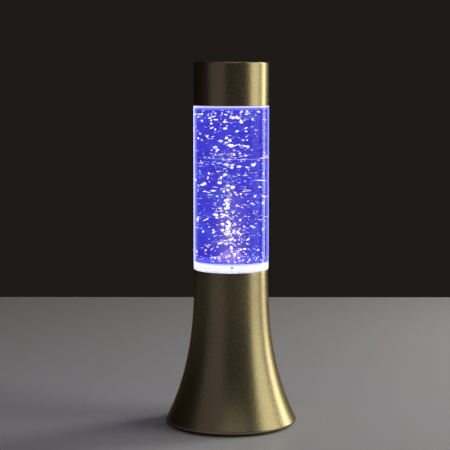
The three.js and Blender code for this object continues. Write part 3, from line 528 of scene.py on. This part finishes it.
litFloor = {
    "colour": (0.12, 0.12, 0.15),
    "glows": ((0.62, 0.6, 0.93), (0.93, 0.93, 1.0)),
    # the floor's glow under the liquid is painted in the liquid's blue
    "glowUnderLiquid": (0.024, 0.026, 0.36),
    "gateMark": {"across": 0.5 * millimetre, "drop": 0.6 * millimetre, "radius": 0.6 * millimetre,
                 "colour": (0.25, 0.24, 0.28)},
    "fade": 1 * millimetre,
    "strength": 1.0,
    "roughness": 0.25,
    "patchesPerMetre": 420,
    "patchDetail": 3.0,
}

litLid = {
    "colour": (0.3, 0.3, 0.45),
    "glows": ((0.08, 0.08, 0.6), (0.7, 0.67, 0.96)),
    "fade": 0.1 * millimetre,
    "strength": 0.9,
    "roughness": 0.25,
    "patchesPerMetre": 420,
    "patchDetail": 3.0,
}


def floorGlowColours(tree, values, colour):
    # under the liquid the floor's painted glow takes the liquid's blue, and the mark that the moulding gate
    # left is dull
    seat = vesselFloor["seatRadius"] - vesselFloor["edge"]
    outside = combined(tree, "GREATER_THAN", axisDistance(tree), seat)
    colour = blended(tree, outside, values["glowUnderLiquid"], colour)
    mark = values["gateMark"]
    place = (mark["across"], -tubeRadius, floorHigh.z - vesselFloor["seat"] - mark["drop"])
    clear = combined(tree, "GREATER_THAN", pointDistance(tree, place), mark["radius"])
    return blended(tree, clear, mark["colour"], colour)


def glowingFinish(name, values, low, finer=None):
    # acrylic lit from inside: one glow below the low place and another above its fade, both a little patchy
    finish, tree, shader = newFinish(name, values["colour"], values["roughness"])
    fade = values["fade"]
    patches = grain(tree, values["patchesPerMetre"], values["patchDetail"])
    place = combined(tree, "ADD", axisPlace(tree, "Z"), spread(tree, patches, *noiseSpan, -fade, fade))
    share = spread(tree, place, low, low + fade, 0, 1)
    lower, upper = values["glows"]
    colour = ramp(tree, share, (0, lower), (1, upper))
    if finer:
        colour = finer(tree, values, colour)
    fill(tree, shader, {"Emission Color": colour, "Emission Strength": values["strength"]})
    return finish


tubeLow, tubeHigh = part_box("vessel_tube")
tubeRadius = tubeHigh.x

vesselTube = {
    "wall": 1.5 * millimetre,
    "edge": 0.15 * millimetre,
    "steps": 3,
    "sides": 256,
}


def vesselTubeSurface(values):
    # the wall's section, with its four edges rounded
    inner = tubeRadius - values["wall"]
    return turnedOutline(values, [
        (inner, tubeLow.z, values["edge"]),
        (tubeRadius, tubeLow.z, values["edge"]),
        (tubeRadius, tubeHigh.z, values["edge"]),
        (inner, tubeHigh.z, values["edge"]),
    ])


makePiece("clear_tube", vesselTubeSurface(vesselTube), acrylicFinish(acrylic), "lamp",
          ["vessel_tube"])

vesselFloor = {
    "seat": 1 * millimetre,
    "seatRadius": 18.35 * millimetre,
    "spigotRadius": 17.7 * millimetre,
    "spigotWall": 1.85 * millimetre,
    "spigotDepth": 5 * millimetre,
    "pinBore": 0.8 * millimetre,
    "pinDepth": 2 * millimetre,
    "edge": 0.2 * millimetre,
    "footEdge": 0.45 * millimetre,
    "steps": 4,
    "sides": 192,
}

floorLow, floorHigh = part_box("vessel_floor")


def vesselFloorSurface(values):
    # the pin's blind hole, the seat, the flange and the spigot
    edge, top = values["edge"], floorHigh.z
    under = floorLow.z + values["spigotDepth"]
    spigotInner = values["spigotRadius"] - values["spigotWall"]
    return turnedOutline(values, [
        (0, top - values["pinDepth"]),
        (values["pinBore"], top - values["pinDepth"]),
        (values["pinBore"], top),
        (values["seatRadius"], top),
        (values["seatRadius"], top - values["seat"]),
        (tubeRadius, top - values["seat"], edge),
        (tubeRadius, under, values["footEdge"]),
        (values["spigotRadius"], under),
        (values["spigotRadius"], floorLow.z, edge),
        (spigotInner, floorLow.z, edge),
        (spigotInner, under),
        (0, under),
    ])


underside = floorLow.z + vesselFloor["spigotDepth"]
floorMaterial = glowingFinish("lit floor", litFloor, underside, floorGlowColours)
makePiece("lit_floor", vesselFloorSurface(vesselFloor), floorMaterial, "lamp",
          ["vessel_floor"])

vesselLid = {
    "flange": 0.8 * millimetre,
    "plugRadius": 18.35 * millimetre,
    "neckOuter": 18.35 * millimetre,
    "neckInner": 16.35 * millimetre,
    "neckTop": 7 * millimetre,
    "web": 0.4 * millimetre,
    "bossRadius": 5 * millimetre,
    "bossTop": 3 * millimetre,
    "port": 3 * millimetre,
    "edge": 0.15 * millimetre,
    "steps": 4,
    "sides": 192,
}

lidLow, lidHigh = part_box("vessel_lid")


def vesselLidSurface(values):
    # the plug, the flange, the neck and the boss round the filling port
    flangeTop = lidHigh.z - values["neckTop"]
    seat = flangeTop - values["flange"]
    return turnedOutline(values, [
        (values["port"], lidLow.z),
        (values["plugRadius"], lidLow.z),
        (values["plugRadius"], seat),
        (tubeRadius, seat, values["edge"]),
        (tubeRadius, flangeTop, values["edge"]),
        (values["neckOuter"], flangeTop),
        (values["neckOuter"], lidHigh.z, values["edge"]),
        (values["neckInner"], lidHigh.z, values["edge"]),
        (values["neckInner"], flangeTop + values["web"]),
        (values["bossRadius"], flangeTop + values["web"]),
        (values["bossRadius"], flangeTop + values["bossTop"], values["edge"]),
        (values["port"], flangeTop + values["bossTop"], values["edge"]),
    ])


lidSeat = lidHigh.z - vesselLid["neckTop"] - vesselLid["flange"]
lidMaterial = glowingFinish("lit lid", litLid, lidSeat - litLid["fade"])
makePiece("lit_lid", vesselLidSurface(vesselLid), lidMaterial, "lamp", ["vessel_lid"])
print("vessel made")


# Liquid: a clear column that glows blue and magnifies the flakes inside. It reaches a little into the
# tube's wall, the floor and the lid, so that light bends there as in a filled vessel.

liquid = {
    "deep": (0.02, 0.012, 0.26),
    "pale": (0.033, 0.028, 0.33),
    "teal": (0.027, 0.06, 0.34),
    "stops": (0.35, 0.55, 0.68),
    # the haze colour and the three values after it set a painted rosy glow, the light over the stirrer
    "haze": (0.08, 0.054, 0.31),
    "rosyGlowFacing": 0.042,
    "rosyGlowRagged": 0.01,
    "rosyGlowHeights": (14 * millimetre, 40 * millimetre),
    "tint": (0.45, 0.5, 1.0),
    "index": 1.36,
    "roughness": 0.0,
    "swirlsPerMetre": 70,
    "swirlDetail": 3.0,
    "swirlStretch": (1, 1, 2.2),
    "touch": 0.2 * millimetre,
    "wallTouch": 0.5 * millimetre,
    "edge": 0.2 * millimetre,
    "pocketRadius": 6.2 * millimetre,
    "pocketHeight": 7.3 * millimetre,
    "steps": 4,
    "sides": 256,
}

liquidLow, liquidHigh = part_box("glitter_liquid")


def liquidFinish(values):
    # a blue glow in slow swirls, drawn out sideways as the liquid turns, and a painted rosy glow over the
    # stirrer, a painted light that thins out away from the middle of the tube as the eye sees it, and with
    # the height
    finish, tree, shader = newFinish("blue liquid", values["tint"], values["roughness"])
    swirl = grain(tree, values["swirlsPerMetre"], values["swirlDetail"], values["swirlStretch"])
    colours = (values["deep"], values["pale"], values["teal"])
    colour = ramp(tree, swirl, *zip(values["stops"], colours))
    facing = newNode(tree, "ShaderNodeLayerWeight", {}).outputs["Facing"]
    ragged = spread(tree, swirl, *noiseSpan, -values["rosyGlowRagged"], values["rosyGlowRagged"])
    away = spread(tree, combined(tree, "ADD", facing, ragged), 0, values["rosyGlowFacing"], 0, 1)
    low, high = values["rosyGlowHeights"]
    above = spread(tree, axisPlace(tree, "Z"), liquidLow.z + low, liquidLow.z + high, 0, 1)
    fill(tree, shader, {
        "Transmission Weight": 1.0,
        "IOR": values["index"],
        "Emission Color": blended(tree, combined(tree, "MAXIMUM", away, above), values["haze"], colour),
        "Emission Strength": 1.0,
    })
    return finish


def liquidSurface(values):
    # a column with a hollow at its foot where the stirrer turns
    foot, top = tubeLow.z + values["touch"], tubeHigh.z - values["touch"]
    radius = tubeRadius - vesselTube["wall"] + values["wallTouch"]
    pocketTop = liquidLow.z + values["pocketHeight"]
    return turnedOutline(values, [
        (0, pocketTop),
        (values["pocketRadius"], pocketTop, values["edge"]),
        (values["pocketRadius"], foot),
        (radius, foot, values["edge"]),
        (radius, top, values["edge"]),
        (0, top),
    ])


def makeLiquid(values, finish):
    # the hollow's own faces are unseen, because the stirrer turns in the liquid: their middles are nearer to
    # the axis than the hollow's wall and lie below its top edge
    piece = makePiece("blue_liquid", liquidSurface(values), finish, "lamp", ["glitter_liquid"])
    unseen, tree, shader = newFinish("unseen hollow", values["tint"], values["roughness"])
    fill(tree, shader, {"Alpha": 0.0})
    piece.data.materials.append(unseen)
    centres = np.empty(3 * len(piece.data.polygons), np.float32)
    piece.data.polygons.foreach_get("center", centres)
    centres = centres.reshape(-1, 3)
    within = np.hypot(centres[:, 0], centres[:, 1]) < values["pocketRadius"]
    within &= centres[:, 2] < liquidLow.z + values["pocketHeight"] + values["edge"]
    piece.data.polygons.foreach_set("material_index", within.astype(np.int32))


liquidMaterial = liquidFinish(liquid)
makeLiquid(liquid, liquidMaterial)
print("liquid made")


# Glitter flakes: small hexagonal plates drawn out along the swirl, in groups from bright to dusty. Lengths
# are in millimetres.

flakes = {
    "thickness": 0.06,
    "climb": 0.12,
    "body": (0.3, 0.26, 0.1),
    "dim": (0.85, 0.74, 0.53),
    "rosy": (1.0, 0.82, 0.74),
    "golden": (1.0, 0.97, 0.4),
    "tintStops": (0.4, 0.6),
    "dimGlow": (0.1, 0.5),
    "strength": (0.3075, 2.05),
    "tintsPerMetre": 350,
    "tintDetail": 0.0,
    "roughness": 0.3,
    "metallic": 0.6,
    "margin": 1.2,
    "streakPower": 3,
    "sharp": 20,
    "seed": 7,
}

# reach is how far the group spreads from the axis, and heights is where it lies above the liquid's foot; a
# group gathered at the axis thins out with a normal spread and drifts to one side of it, any other fills its
# reach evenly, from its nearest place to the axis and between its turns, in radians. size is how far a plate
# goes out from its middle, and streak how much farther along the swirl.
flakeGroups = {
    "sparks": {"count": 190, "reach": 16.5, "heights": (2, 79.7), "size": (0.54, 0.9), "streak": (0.85, 1.6),
               "glow": (0.45, 1.0)},
    "glints": {"count": 290, "reach": 17.2, "heights": (1, 79.9), "size": (0.34, 0.58), "streak": (0.85, 1.8),
               "glow": (0.15, 0.5)},
    "risen": {"count": 50, "reach": 17.2, "heights": (75, 79.8), "size": (0.38, 0.68), "streak": (0.85, 1.6),
              "glow": (0.4, 1.0)},
    "settled": {"count": 60, "reach": 17.2, "heights": (0.5, 1.6), "size": (0.24, 0.5), "streak": (0.9, 1.8),
                "glow": (0.3, 1.0)},
    "foot": {"count": 30, "reach": 14.0, "heights": (1.2, 9), "size": (0.35, 0.75), "streak": (0.8, 1.5),
             "glow": (0.3, 0.9)},
    "skirt": {"count": 15, "nearest": 7.5, "reach": 9.0, "heights": (0.8, 8.5), "turns": (-2.35, -0.8),
              "size": (0.45, 0.9), "streak": (0.8, 1.4), "glow": (0.4, 1.0)},
    "core": {"count": 68, "gathered": True, "drift": -1.2, "reach": 5.5, "heights": (9.5, 32),
             "size": (0.5, 0.95), "streak": (0.8, 1.4), "glow": (0.4, 1.0)},
    "dust": {"count": 400, "gathered": True, "drift": -1.0, "reach": 6.0, "heights": (9.5, 60),
             "size": (0.25, 0.44), "streak": (0.8, 1.5), "glow": (0.0, 0.12)},
}


def between(limits, share):
    # low + (high - low) * share
    return limits[0] + (limits[1] - limits[0]) * share


def flakePlaces(group, random):
    # each flake's place and turn; one that would fall in the stirrer's hollow is lifted over it, and one that
    # would pass the tube's wall is drawn in
    count, reach = group["count"], group["reach"]
    margin = flakes["margin"] * millimetre
    widest = liquidHigh.x - margin
    nearest = group.get("nearest", 0)
    even = np.sqrt(nearest ** 2 + (reach ** 2 - nearest ** 2) * random.random(count))
    gathered = np.abs(random.normal(0, reach, count))
    radius = np.minimum((gathered if "gathered" in group else even) * millimetre, widest)
    height = liquidLow.z + between(group["heights"], random.random(count)) * millimetre
    overStirrer = liquidLow.z + liquid["pocketHeight"] + margin
    inHollow = (radius < liquid["pocketRadius"] + margin) & (height < overStirrer)
    height = np.where(inHollow, 2 * overStirrer - height, height)
    turn = between(group.get("turns", (0, 2 * np.pi)), random.random(count))
    drift = group.get("drift", 0) * millimetre
    middle = np.stack([radius * np.cos(turn) + drift, radius * np.sin(turn)], axis=1)
    middle *= np.minimum(1, widest / np.hypot(*middle.T))[:, None]
    return np.column_stack([middle, height]), turn


def flakeSurface(group, random):
    # a plate is a hexagon: corner k lies at centre + size * (streak * cos k * tangent + sin k * across) +-
    # half the thickness along the normal, with the tangent round the axis and the normal at random
    centre, turn = flakePlaces(group, random)
    count = group["count"]
    tangent = np.stack([-np.sin(turn), np.cos(turn), random.normal(0, flakes["climb"], count)], axis=1)
    tangent /= np.linalg.norm(tangent, axis=1)[:, None]
    normal = random.normal(0, 1, (count, 3))
    normal -= (normal * tangent).sum(1)[:, None] * tangent
    normal /= np.linalg.norm(normal, axis=1)[:, None]
    across = np.cross(normal, tangent)
    size = between(group["size"], random.random(count)) * millimetre
    streak = between(group["streak"], random.random(count) ** flakes["streakPower"])
    sides = 6
    side = np.arange(sides)
    corner = 2 * np.pi * side / sides
    rim = (
        centre[:, None]
        + (size * streak)[:, None, None] * np.cos(corner)[None, :, None] * tangent[:, None]
        + size[:, None, None] * np.sin(corner)[None, :, None] * across[:, None]
    )
    half = flakes["thickness"] * millimetre / 2 * normal[:, None]
    points = np.concatenate([rim - half, rim + half], axis=1).reshape(-1, 3)
    ahead = np.roll(side, -1)
    walls = np.stack([side, ahead, ahead + sides, side + sides], axis=1)
    fan = np.array([[0, first, first + 1, first + 2] for first in range(1, sides - 1, 2)])
    pattern = np.concatenate([walls, fan[:, [0, 3, 2, 1]], fan + sides])
    quads = (pattern[None] + 2 * sides * np.arange(count)[:, None, None]).reshape(-1, 4)
    glow = between(group["glow"], random.random(count))
    return (points, quads, np.zeros((0, 3), int)), np.repeat(glow, 2 * sides)


def flakeFinish(values):
    # each plate's painted glow, from a dim sandy grey to a bright white that is rosy here and golden there
    finish, tree, shader = newFinish("glitter flake", values["body"], values["roughness"], values["metallic"])
    attribute = newNode(tree, "ShaderNodeAttribute", {})
    attribute.attribute_name = "glow"
    glow = attribute.outputs["Fac"]
    patches = grain(tree, values["tintsPerMetre"], values["tintDetail"])
    tints = ramp(tree, patches, *zip(values["tintStops"], (values["rosy"], values["golden"])))
    fill(tree, shader, {
        "Emission Color": blended(tree, spread(tree, glow, *values["dimGlow"], 0, 1), values["dim"], tints),
        "Emission Strength": spread(tree, glow, 0, 1, *values["strength"]),
    })
    return finish


# Trails: thin arcs of glitter that the turning liquid draws out, two chosen ones among many short ones

trails = {
    "count": 26,
    "radius": (8.0, 17.0),
    "span": (0.25, 1.1),
    "heights": (4, 78),
    "thickness": (0.04, 0.08),
    "climb": 1.0,
    "glow": (0.05, 0.3),
    "steps": 28,
    "sharp": 180,
    "chosen": [
        {"radius": 17.0, "span": 2.5, "height": 55.6, "middle": -0.5 * math.pi, "thickness": 0.09,
         "glow": 0.3},
        {"radius": 16.4, "span": 0.7, "height": 44.0, "middle": -0.16 * math.pi, "thickness": 0.2,
         "glow": 0.8},
    ],
}


def trailSurface(radius, height, middle, span, climb, thickness):
    # point (i, j), with i from 0 to 1, goes round the axis at turn t_i, rises by climb * i, and lies
    # thickness * sin(pi i) out from there at corner j of a square section
    sides, steps = 4, trails["steps"]
    share = np.linspace(0, 1, steps)
    turn = middle + span * (share - 0.5)
    corner = 2 * np.pi * np.arange(sides) / sides
    reach = thickness * np.sin(np.pi * share)[:, None]
    across = radius + reach * np.cos(corner)
    points = np.stack([
        across * np.cos(turn)[:, None],
        across * np.sin(turn)[:, None],
        height + (climb * share)[:, None] + reach * np.sin(corner),
    ], axis=-1)
    index = np.arange((steps - 2) * sides).reshape(-1, sides)
    ahead = np.roll(index, -1, axis=1)
    quads = np.stack([index[:-1], ahead[:-1], ahead[1:], index[1:]], axis=-1).reshape(-1, 4)
    first, last = index.size, index.size + 1
    tips = np.concatenate([
        np.stack([np.full(sides, first), ahead[0], index[0]], axis=1),
        np.stack([np.full(sides, last), index[-1], ahead[-1]], axis=1),
    ])
    points = np.concatenate([points[1:-1].reshape(-1, 3), points[0, :1], points[-1, :1]])
    return (points, *outwardFaces(points, quads, tips))


def trailSurfaces(values, random):
    # the loose trails take their sizes and places at random between their limits; the outer ones climb, the
    # inner ones fall
    arcs, glows = [], []
    limits = [values[name] for name in ("radius", "span", "heights", "thickness", "glow")]
    for number in range(values["count"]):
        *picks, turn = random.random(len(limits) + 1)
        radius, span, height, thickness, glow = map(between, limits, picks)
        climb = values["climb"] * (2 * picks[0] - 1)
        arcs.append((radius, height, 2 * math.pi * turn, span, climb, thickness))
        glows.append(glow)
    for one in values["chosen"]:
        arcs.append((one["radius"], one["height"], one["middle"], one["span"], -values["climb"],
                     one["thickness"]))
        glows.append(one["glow"])
    surfaces = [
        trailSurface(radius * millimetre, liquidLow.z + height * millimetre, middle, span, climb * millimetre,
                     thickness * millimetre)
        for radius, height, middle, span, climb, thickness in arcs
    ]
    return merged(*surfaces), np.repeat(glows, len(surfaces[0][0]))


def makeGlitter(name, surface, glow, finish, sharp):
    # each point carries its plate's or trail's glow, from 0 to 1
    piece = makePiece(name, surface, finish, "lamp", sharp=sharp)
    attribute = piece.data.attributes.new("glow", "FLOAT", "POINT")
    attribute.data.foreach_set("value", glow.astype(np.float32))


random = np.random.default_rng(flakes["seed"])
flakeMaterial = flakeFinish(flakes)
flakeParts = [flakeSurface(group, random) for group in flakeGroups.values()]
makeGlitter("glitter_flakes", merged(*(surface for surface, glow in flakeParts)),
            np.concatenate([glow for surface, glow in flakeParts]), flakeMaterial, flakes["sharp"])
makeGlitter("glitter_trails", *trailSurfaces(trails, random), flakeMaterial, trails["sharp"])
print("flakes made:", sum(group["count"] for group in flakeGroups.values()))


# Stirrer: a clear violet cone with four vanes, on its steel pin

stirrer = {
    "radius": 5.6 * millimetre,
    "base": 2.2 * millimetre,
    "coneRadius": 4.6 * millimetre,
    "tipRadius": 1.6 * millimetre,
    "bore": 1.05 * millimetre,
    "boreDepth": 4.9 * millimetre,
    "edge": 0.35 * millimetre,
    "vaneHalf": 0.4 * millimetre,
    "vaneHeight": 2 * millimetre,
    "vanes": 4,
    "colour": (0.3, 0.22, 0.34),
    "glow": (0.3, 0.2, 0.36),
    "glowStrength": (0.7, 1.3),
    "hazePerMetre": 700,
    "alpha": 0.28,
    "roughness": 0.2,
    "steps": 4,
    "sides": 64,
}

stirrerLow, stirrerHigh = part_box("stirrer")


def stirrerFinish(values):
    # a faint see-through body that glows a little more here than there
    finish, tree, shader = newFinish("clear stirrer", values["colour"], values["roughness"])
    haze = grain(tree, values["hazePerMetre"])
    fill(tree, shader, {
        "Emission Color": values["glow"],
        "Emission Strength": spread(tree, haze, *noiseSpan, *values["glowStrength"]),
        "Alpha": values["alpha"],
    })
    return finish


def vaneSurface(values, turn):
    # an upright plate from the tip's radius out to the disc's, its outer top corner rounded off
    low, high = values["base"] - values["edge"], values["base"] + values["vaneHeight"]
    inner, outer = values["tipRadius"] / 2, values["radius"] - values["edge"]
    outline = roundedOutline([
        (inner, low), (outer, low), (outer, high, values["vaneHalf"] * 2), (inner, high),
    ], values["steps"])
    faces = [np.insert(outline, 1, side * values["vaneHalf"], axis=1) for side in (-1, 1)]
    points, quads, triangles = slabSurface(faces)
    spin = np.array([[math.cos(turn), math.sin(turn), 0], [-math.sin(turn), math.cos(turn), 0], [0, 0, 1]])
    return points @ spin, quads, triangles


def stirrerSurface(values):
    # a disc and a cone on it, with a blind bore for the pin, and the vanes evenly round them
    height = stirrerHigh.z - stirrerLow.z
    body = turnedOutline(values, [
        (0, values["boreDepth"]),
        (values["bore"], values["boreDepth"]),
        (values["bore"], 0),
        (values["radius"], 0, values["edge"]),
        (values["radius"], values["base"], values["edge"]),
        (values["coneRadius"], values["base"], values["edge"]),
        (values["tipRadius"], height, values["edge"]),
        (0, height),
    ])
    turns = [2 * math.pi / values["vanes"] * (number + 0.5) for number in range(values["vanes"])]
    vanes = [vaneSurface(values, turn) for turn in turns]
    return shifted(merged(body, *vanes), (0, 0, stirrerLow.z))


makePiece("clear_stirrer", stirrerSurface(stirrer), stirrerFinish(stirrer), "stirrer_set",
          ["stirrer"])
print("stirrer made")


# Stirrer pin and feet

stirrerPin = {"edge": 0.15 * millimetre, "tipEdge": 0.3 * millimetre, "steps": 5, "sides": 48}
rubberFoot = {
    "count": 4,
    "edge": 0.4 * millimetre,
    "topEdge": 0.2 * millimetre,
    "hollow": 0.25 * millimetre,
    "rim": 0.7 * millimetre,
    "steps": 5,
    "sides": 72,
}


def pinSurface(values):
    # a straight pin with its tip rounded
    low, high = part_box("stirrer_pin")
    return turnedOutline(values, [
        (0, low.z), (high.x, low.z, values["edge"]), (high.x, high.z, values["tipEdge"]), (0, high.z),
    ])


def footSurface(values, name):
    # a pad with a shallow hollow in the face it stands on
    low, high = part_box(name)
    radius = (high.x - low.x) / 2
    depth, reach = values["hollow"], radius - values["rim"]
    pad = turnedOutline(values, [
        (0, low.z + depth),
        (reach - depth, low.z + depth, depth / 2),
        (reach, low.z, depth / 3),
        (radius, low.z, values["edge"]),
        (radius, high.z, values["topEdge"]),
        (0, high.z),
    ])
    return shifted(pad, ((low.x + high.x) / 2, (low.y + high.y) / 2, 0))


# Finishes for what the frame's own solids show, one per slot

plainNoise = {"fineDetail": 3.0, "coarseDetail": 4.0, "coarserBy": 6}

plainFinishes = {
    "black_plastic": {"colours": ((0.012, 0.012, 0.013), (0.022, 0.022, 0.023)), "roughness": (0.42, 0.58),
                      "grains": 2400, "relief": 0.00006},
    "white_plastic": {"colours": ((0.6, 0.59, 0.55), (0.72, 0.71, 0.67)), "roughness": (0.35, 0.48),
                      "grains": 1200, "relief": 0.00003},
    "rubber": {"colours": ((0.014, 0.014, 0.014), (0.03, 0.029, 0.028)), "roughness": (0.7, 0.9),
               "grains": 3200, "relief": 0.0001},
    "screw_steel": {"colours": ((0.4, 0.4, 0.4), (0.55, 0.55, 0.54)), "roughness": (0.25, 0.42),
                    "metallic": 1.0, "grains": 1800, "relief": 0.00002},
    "motor_steel": {"colours": ((0.42, 0.42, 0.41), (0.58, 0.57, 0.55)), "roughness": (0.28, 0.45),
                    "metallic": 1.0, "grains": 900, "stretch": (1, 1, 0.08), "relief": 0.00002},
    "nickel": {"colours": ((0.5, 0.49, 0.45), (0.62, 0.6, 0.56)), "roughness": (0.2, 0.34), "metallic": 1.0,
               "grains": 1500, "relief": 0.00001},
    "brass": {"colours": ((0.55, 0.38, 0.13), (0.72, 0.52, 0.2)), "roughness": (0.22, 0.4), "metallic": 1.0,
              "grains": 1400, "relief": 0.00002},
    "copper": {"colours": ((0.5, 0.2, 0.09), (0.7, 0.31, 0.16)), "roughness": (0.28, 0.42), "metallic": 1.0,
               "grains": 2200, "stretch": (0.1, 1, 1), "relief": 0.00008},
    "ferrite": {"colours": ((0.03, 0.03, 0.032), (0.06, 0.058, 0.058)), "roughness": (0.5, 0.75),
                "grains": 2600, "relief": 0.00006},
    "magnet": {"colours": ((0.45, 0.45, 0.45), (0.6, 0.6, 0.59)), "roughness": (0.16, 0.3), "metallic": 1.0,
               "grains": 1300, "relief": 0.00001},
    "cell_jacket": {"colours": ((0.03, 0.13, 0.07), (0.05, 0.19, 0.11)), "roughness": (0.25, 0.38),
                    "grains": 800, "relief": 0.00002},
    "board_green": {"colours": ((0.012, 0.11, 0.045), (0.02, 0.19, 0.075)), "roughness": (0.3, 0.45),
                    "grains": 900, "relief": 0.00003},
    "led_lens": {"colours": ((0.75, 0.78, 0.9), (0.88, 0.9, 0.98)), "roughness": (0.12, 0.2),
                 "grains": 600, "relief": 0.00001},
    "resistor_tan": {"colours": ((0.5, 0.34, 0.17), (0.62, 0.43, 0.23)), "roughness": (0.45, 0.6),
                     "grains": 1600, "relief": 0.00003},
    "clear_acrylic": {"colours": ((0.82, 0.84, 0.92), (0.93, 0.94, 0.98)), "roughness": (0.08, 0.16),
                      "grains": 500, "relief": 0.00001},
    "red_lead": {"colours": ((0.4, 0.016, 0.012), (0.55, 0.03, 0.022)), "roughness": (0.35, 0.5),
                 "grains": 1300, "relief": 0.00002},
    "black_lead": {"colours": ((0.012, 0.012, 0.012), (0.024, 0.024, 0.024)), "roughness": (0.35, 0.5),
                   "grains": 1300, "relief": 0.00002},
}


def plainFinish(name, values):
    # the finer noise moves the colour and the relief, a coarser one the gloss
    dark, light = values["colours"]
    smooth, dull = values["roughness"]
    finish, tree, shader = newFinish(name.replace("_", " "), light, dull, values.get("metallic", 0.0))
    fine = grain(tree, values["grains"], plainNoise["fineDetail"], values.get("stretch", (1, 1, 1)))
    coarse = grain(tree, values["grains"] / plainNoise["coarserBy"], plainNoise["coarseDetail"])
    fill(tree, shader, {
        "Base Color": ramp(tree, fine, *zip(noiseSpan, (dark, light))),
        "Roughness": spread(tree, coarse, *noiseSpan, smooth, dull),
        "Normal": relief(tree, fine, values["relief"]),
    })
    return finish


slotMaterials = {name: plainFinish(name, values) for name, values in plainFinishes.items()}

makePiece("steel_pin", pinSurface(stirrerPin), slotMaterials["screw_steel"], "lamp",
          ["stirrer_pin"])
for number in range(rubberFoot["count"]):
    name = f"foot_{number + 1}"
    makePiece(f"rubber_{name}", footSurface(rubberFoot, name), slotMaterials["rubber"], "lamp",
              [name])
print("feet made")

shownFinishes = {
    **slotMaterials,
    "champagne_paint": paintMaterial,
    "blue_liquid": liquidMaterial,
    "clear_stirrer": slotMaterials["clear_acrylic"],
}
for name, node in frame["nodes"].items():
    node.data.materials.clear()
    node.data.materials.append(shownFinishes[nodeSlots[name]])
print("frame solids finished")


# Studio: a pale table, a dim room and soft panels

tableTop = {
    "across": 0.6,
    "front": -0.45,
    "back": 0.44,
    "thickness": 0.02,
    "edge": 0.002,
    "steps": 5,
    "colours": ((0.74, 0.73, 0.76), (0.8, 0.79, 0.82)),
    "roughness": (0.42, 0.5),
    "grains": 700,
    "relief": 0.00006,
}


def tableSurface(values):
    # a slab: the rounded front-to-back section carried from left to right
    outline = roundedOutline([
        (values["front"], -values["thickness"], values["edge"]),
        (values["back"], -values["thickness"], values["edge"]),
        (values["back"], 0, values["edge"]),
        (values["front"], 0, values["edge"]),
    ], values["steps"])
    return slabSurface([np.insert(outline, 0, side * values["across"], axis=1) for side in (-1, 1)])


newObject("table", tableSurface(tableTop), plainFinish("table", tableTop), meshing["sharp"])

room = {
    "front": (0.034, 0.029, 0.036),
    "back": (0.0125, 0.0108, 0.0095),
    "above": (0.2, 0.19, 0.18),
    "turns": (-0.7, 0.1),
    "rise": (0.72, 0.92),
}


def makeRoom(values):
    # dim all round, a little less so on the side that the lamp faces, with a pale ceiling that only shows in
    # what is glossy
    world = bpy.data.worlds.new("room")
    world.use_nodes = True
    tree = world.node_tree
    coordinates = newNode(tree, "ShaderNodeTexCoord", {})
    way = newNode(tree, "ShaderNodeSeparateXYZ", {"Vector": coordinates.outputs["Generated"]})
    side = spread(tree, way.outputs["Y"], *values["turns"], 0, 1)
    colour = ramp(tree, side, (0, values["front"]), (1, values["back"]))
    under = spread(tree, way.outputs["Z"], *values["rise"], 1, 0)
    plain = spread(tree, newNode(tree, "ShaderNodeLightPath", {}).outputs["Is Glossy Ray"], 0, 1, 1, 0)
    colour = blended(tree, combined(tree, "MAXIMUM", under, plain), values["above"], colour)
    fill(tree, tree.nodes["Background"], {"Color": colour})
    bpy.context.scene.world = world


makeRoom(room)

# each panel: its middle, the point it faces, its width and height, its colour and its radiance
lightPanels = {
    "frontRight": {"middle": (0.685, -0.146, 0.32), "aim": (0, 0, 0.1), "size": (0.45, 0.9),
                   "colour": (1.0, 0.975, 0.84), "radiance": 1.6},
    "backRight": {"middle": (0.616, 0.327, 0.28), "aim": (0, 0, 0.1), "size": (0.22, 0.7),
                  "colour": (1.0, 0.98, 0.93), "radiance": 5.0},
    "frontLeft": {"middle": (-0.55, -0.58, 0.3), "aim": (0, 0, 0.1), "size": (0.8, 0.8),
                  "colour": (0.86, 0.76, 0.9), "radiance": 0.11},
    "overhead": {"middle": (0.1, -0.7, 0.85), "aim": (0, 0, 0), "size": (0.8, 0.8),
                 "colour": (1.0, 1.0, 1.0), "radiance": 0.25},
}


def makePanel(name, values):
    # a lamp's power is its radiance times pi times its area, and it looks along its own -Z at its aim
    lamp = bpy.data.lights.new(name, "AREA")
    lamp.shape = "RECTANGLE"
    lamp.size, lamp.size_y = values["size"]
    lamp.energy = values["radiance"] * math.pi * lamp.size * lamp.size_y
    lamp.color = values["colour"]
    panel = bpy.data.objects.new(name, lamp)
    panel.location = values["middle"]
    ahead = Vector(values["aim"]) - Vector(values["middle"])
    panel.rotation_euler = ahead.to_track_quat("-Z", "Y").to_euler()
    panel.visible_camera = False
    panel.visible_transmission = False
    bpy.context.scene.collection.objects.link(panel)


for name, values in lightPanels.items():
    makePanel(name, values)
bpy.context.scene.view_settings.view_transform = "Standard"
print("studio made")
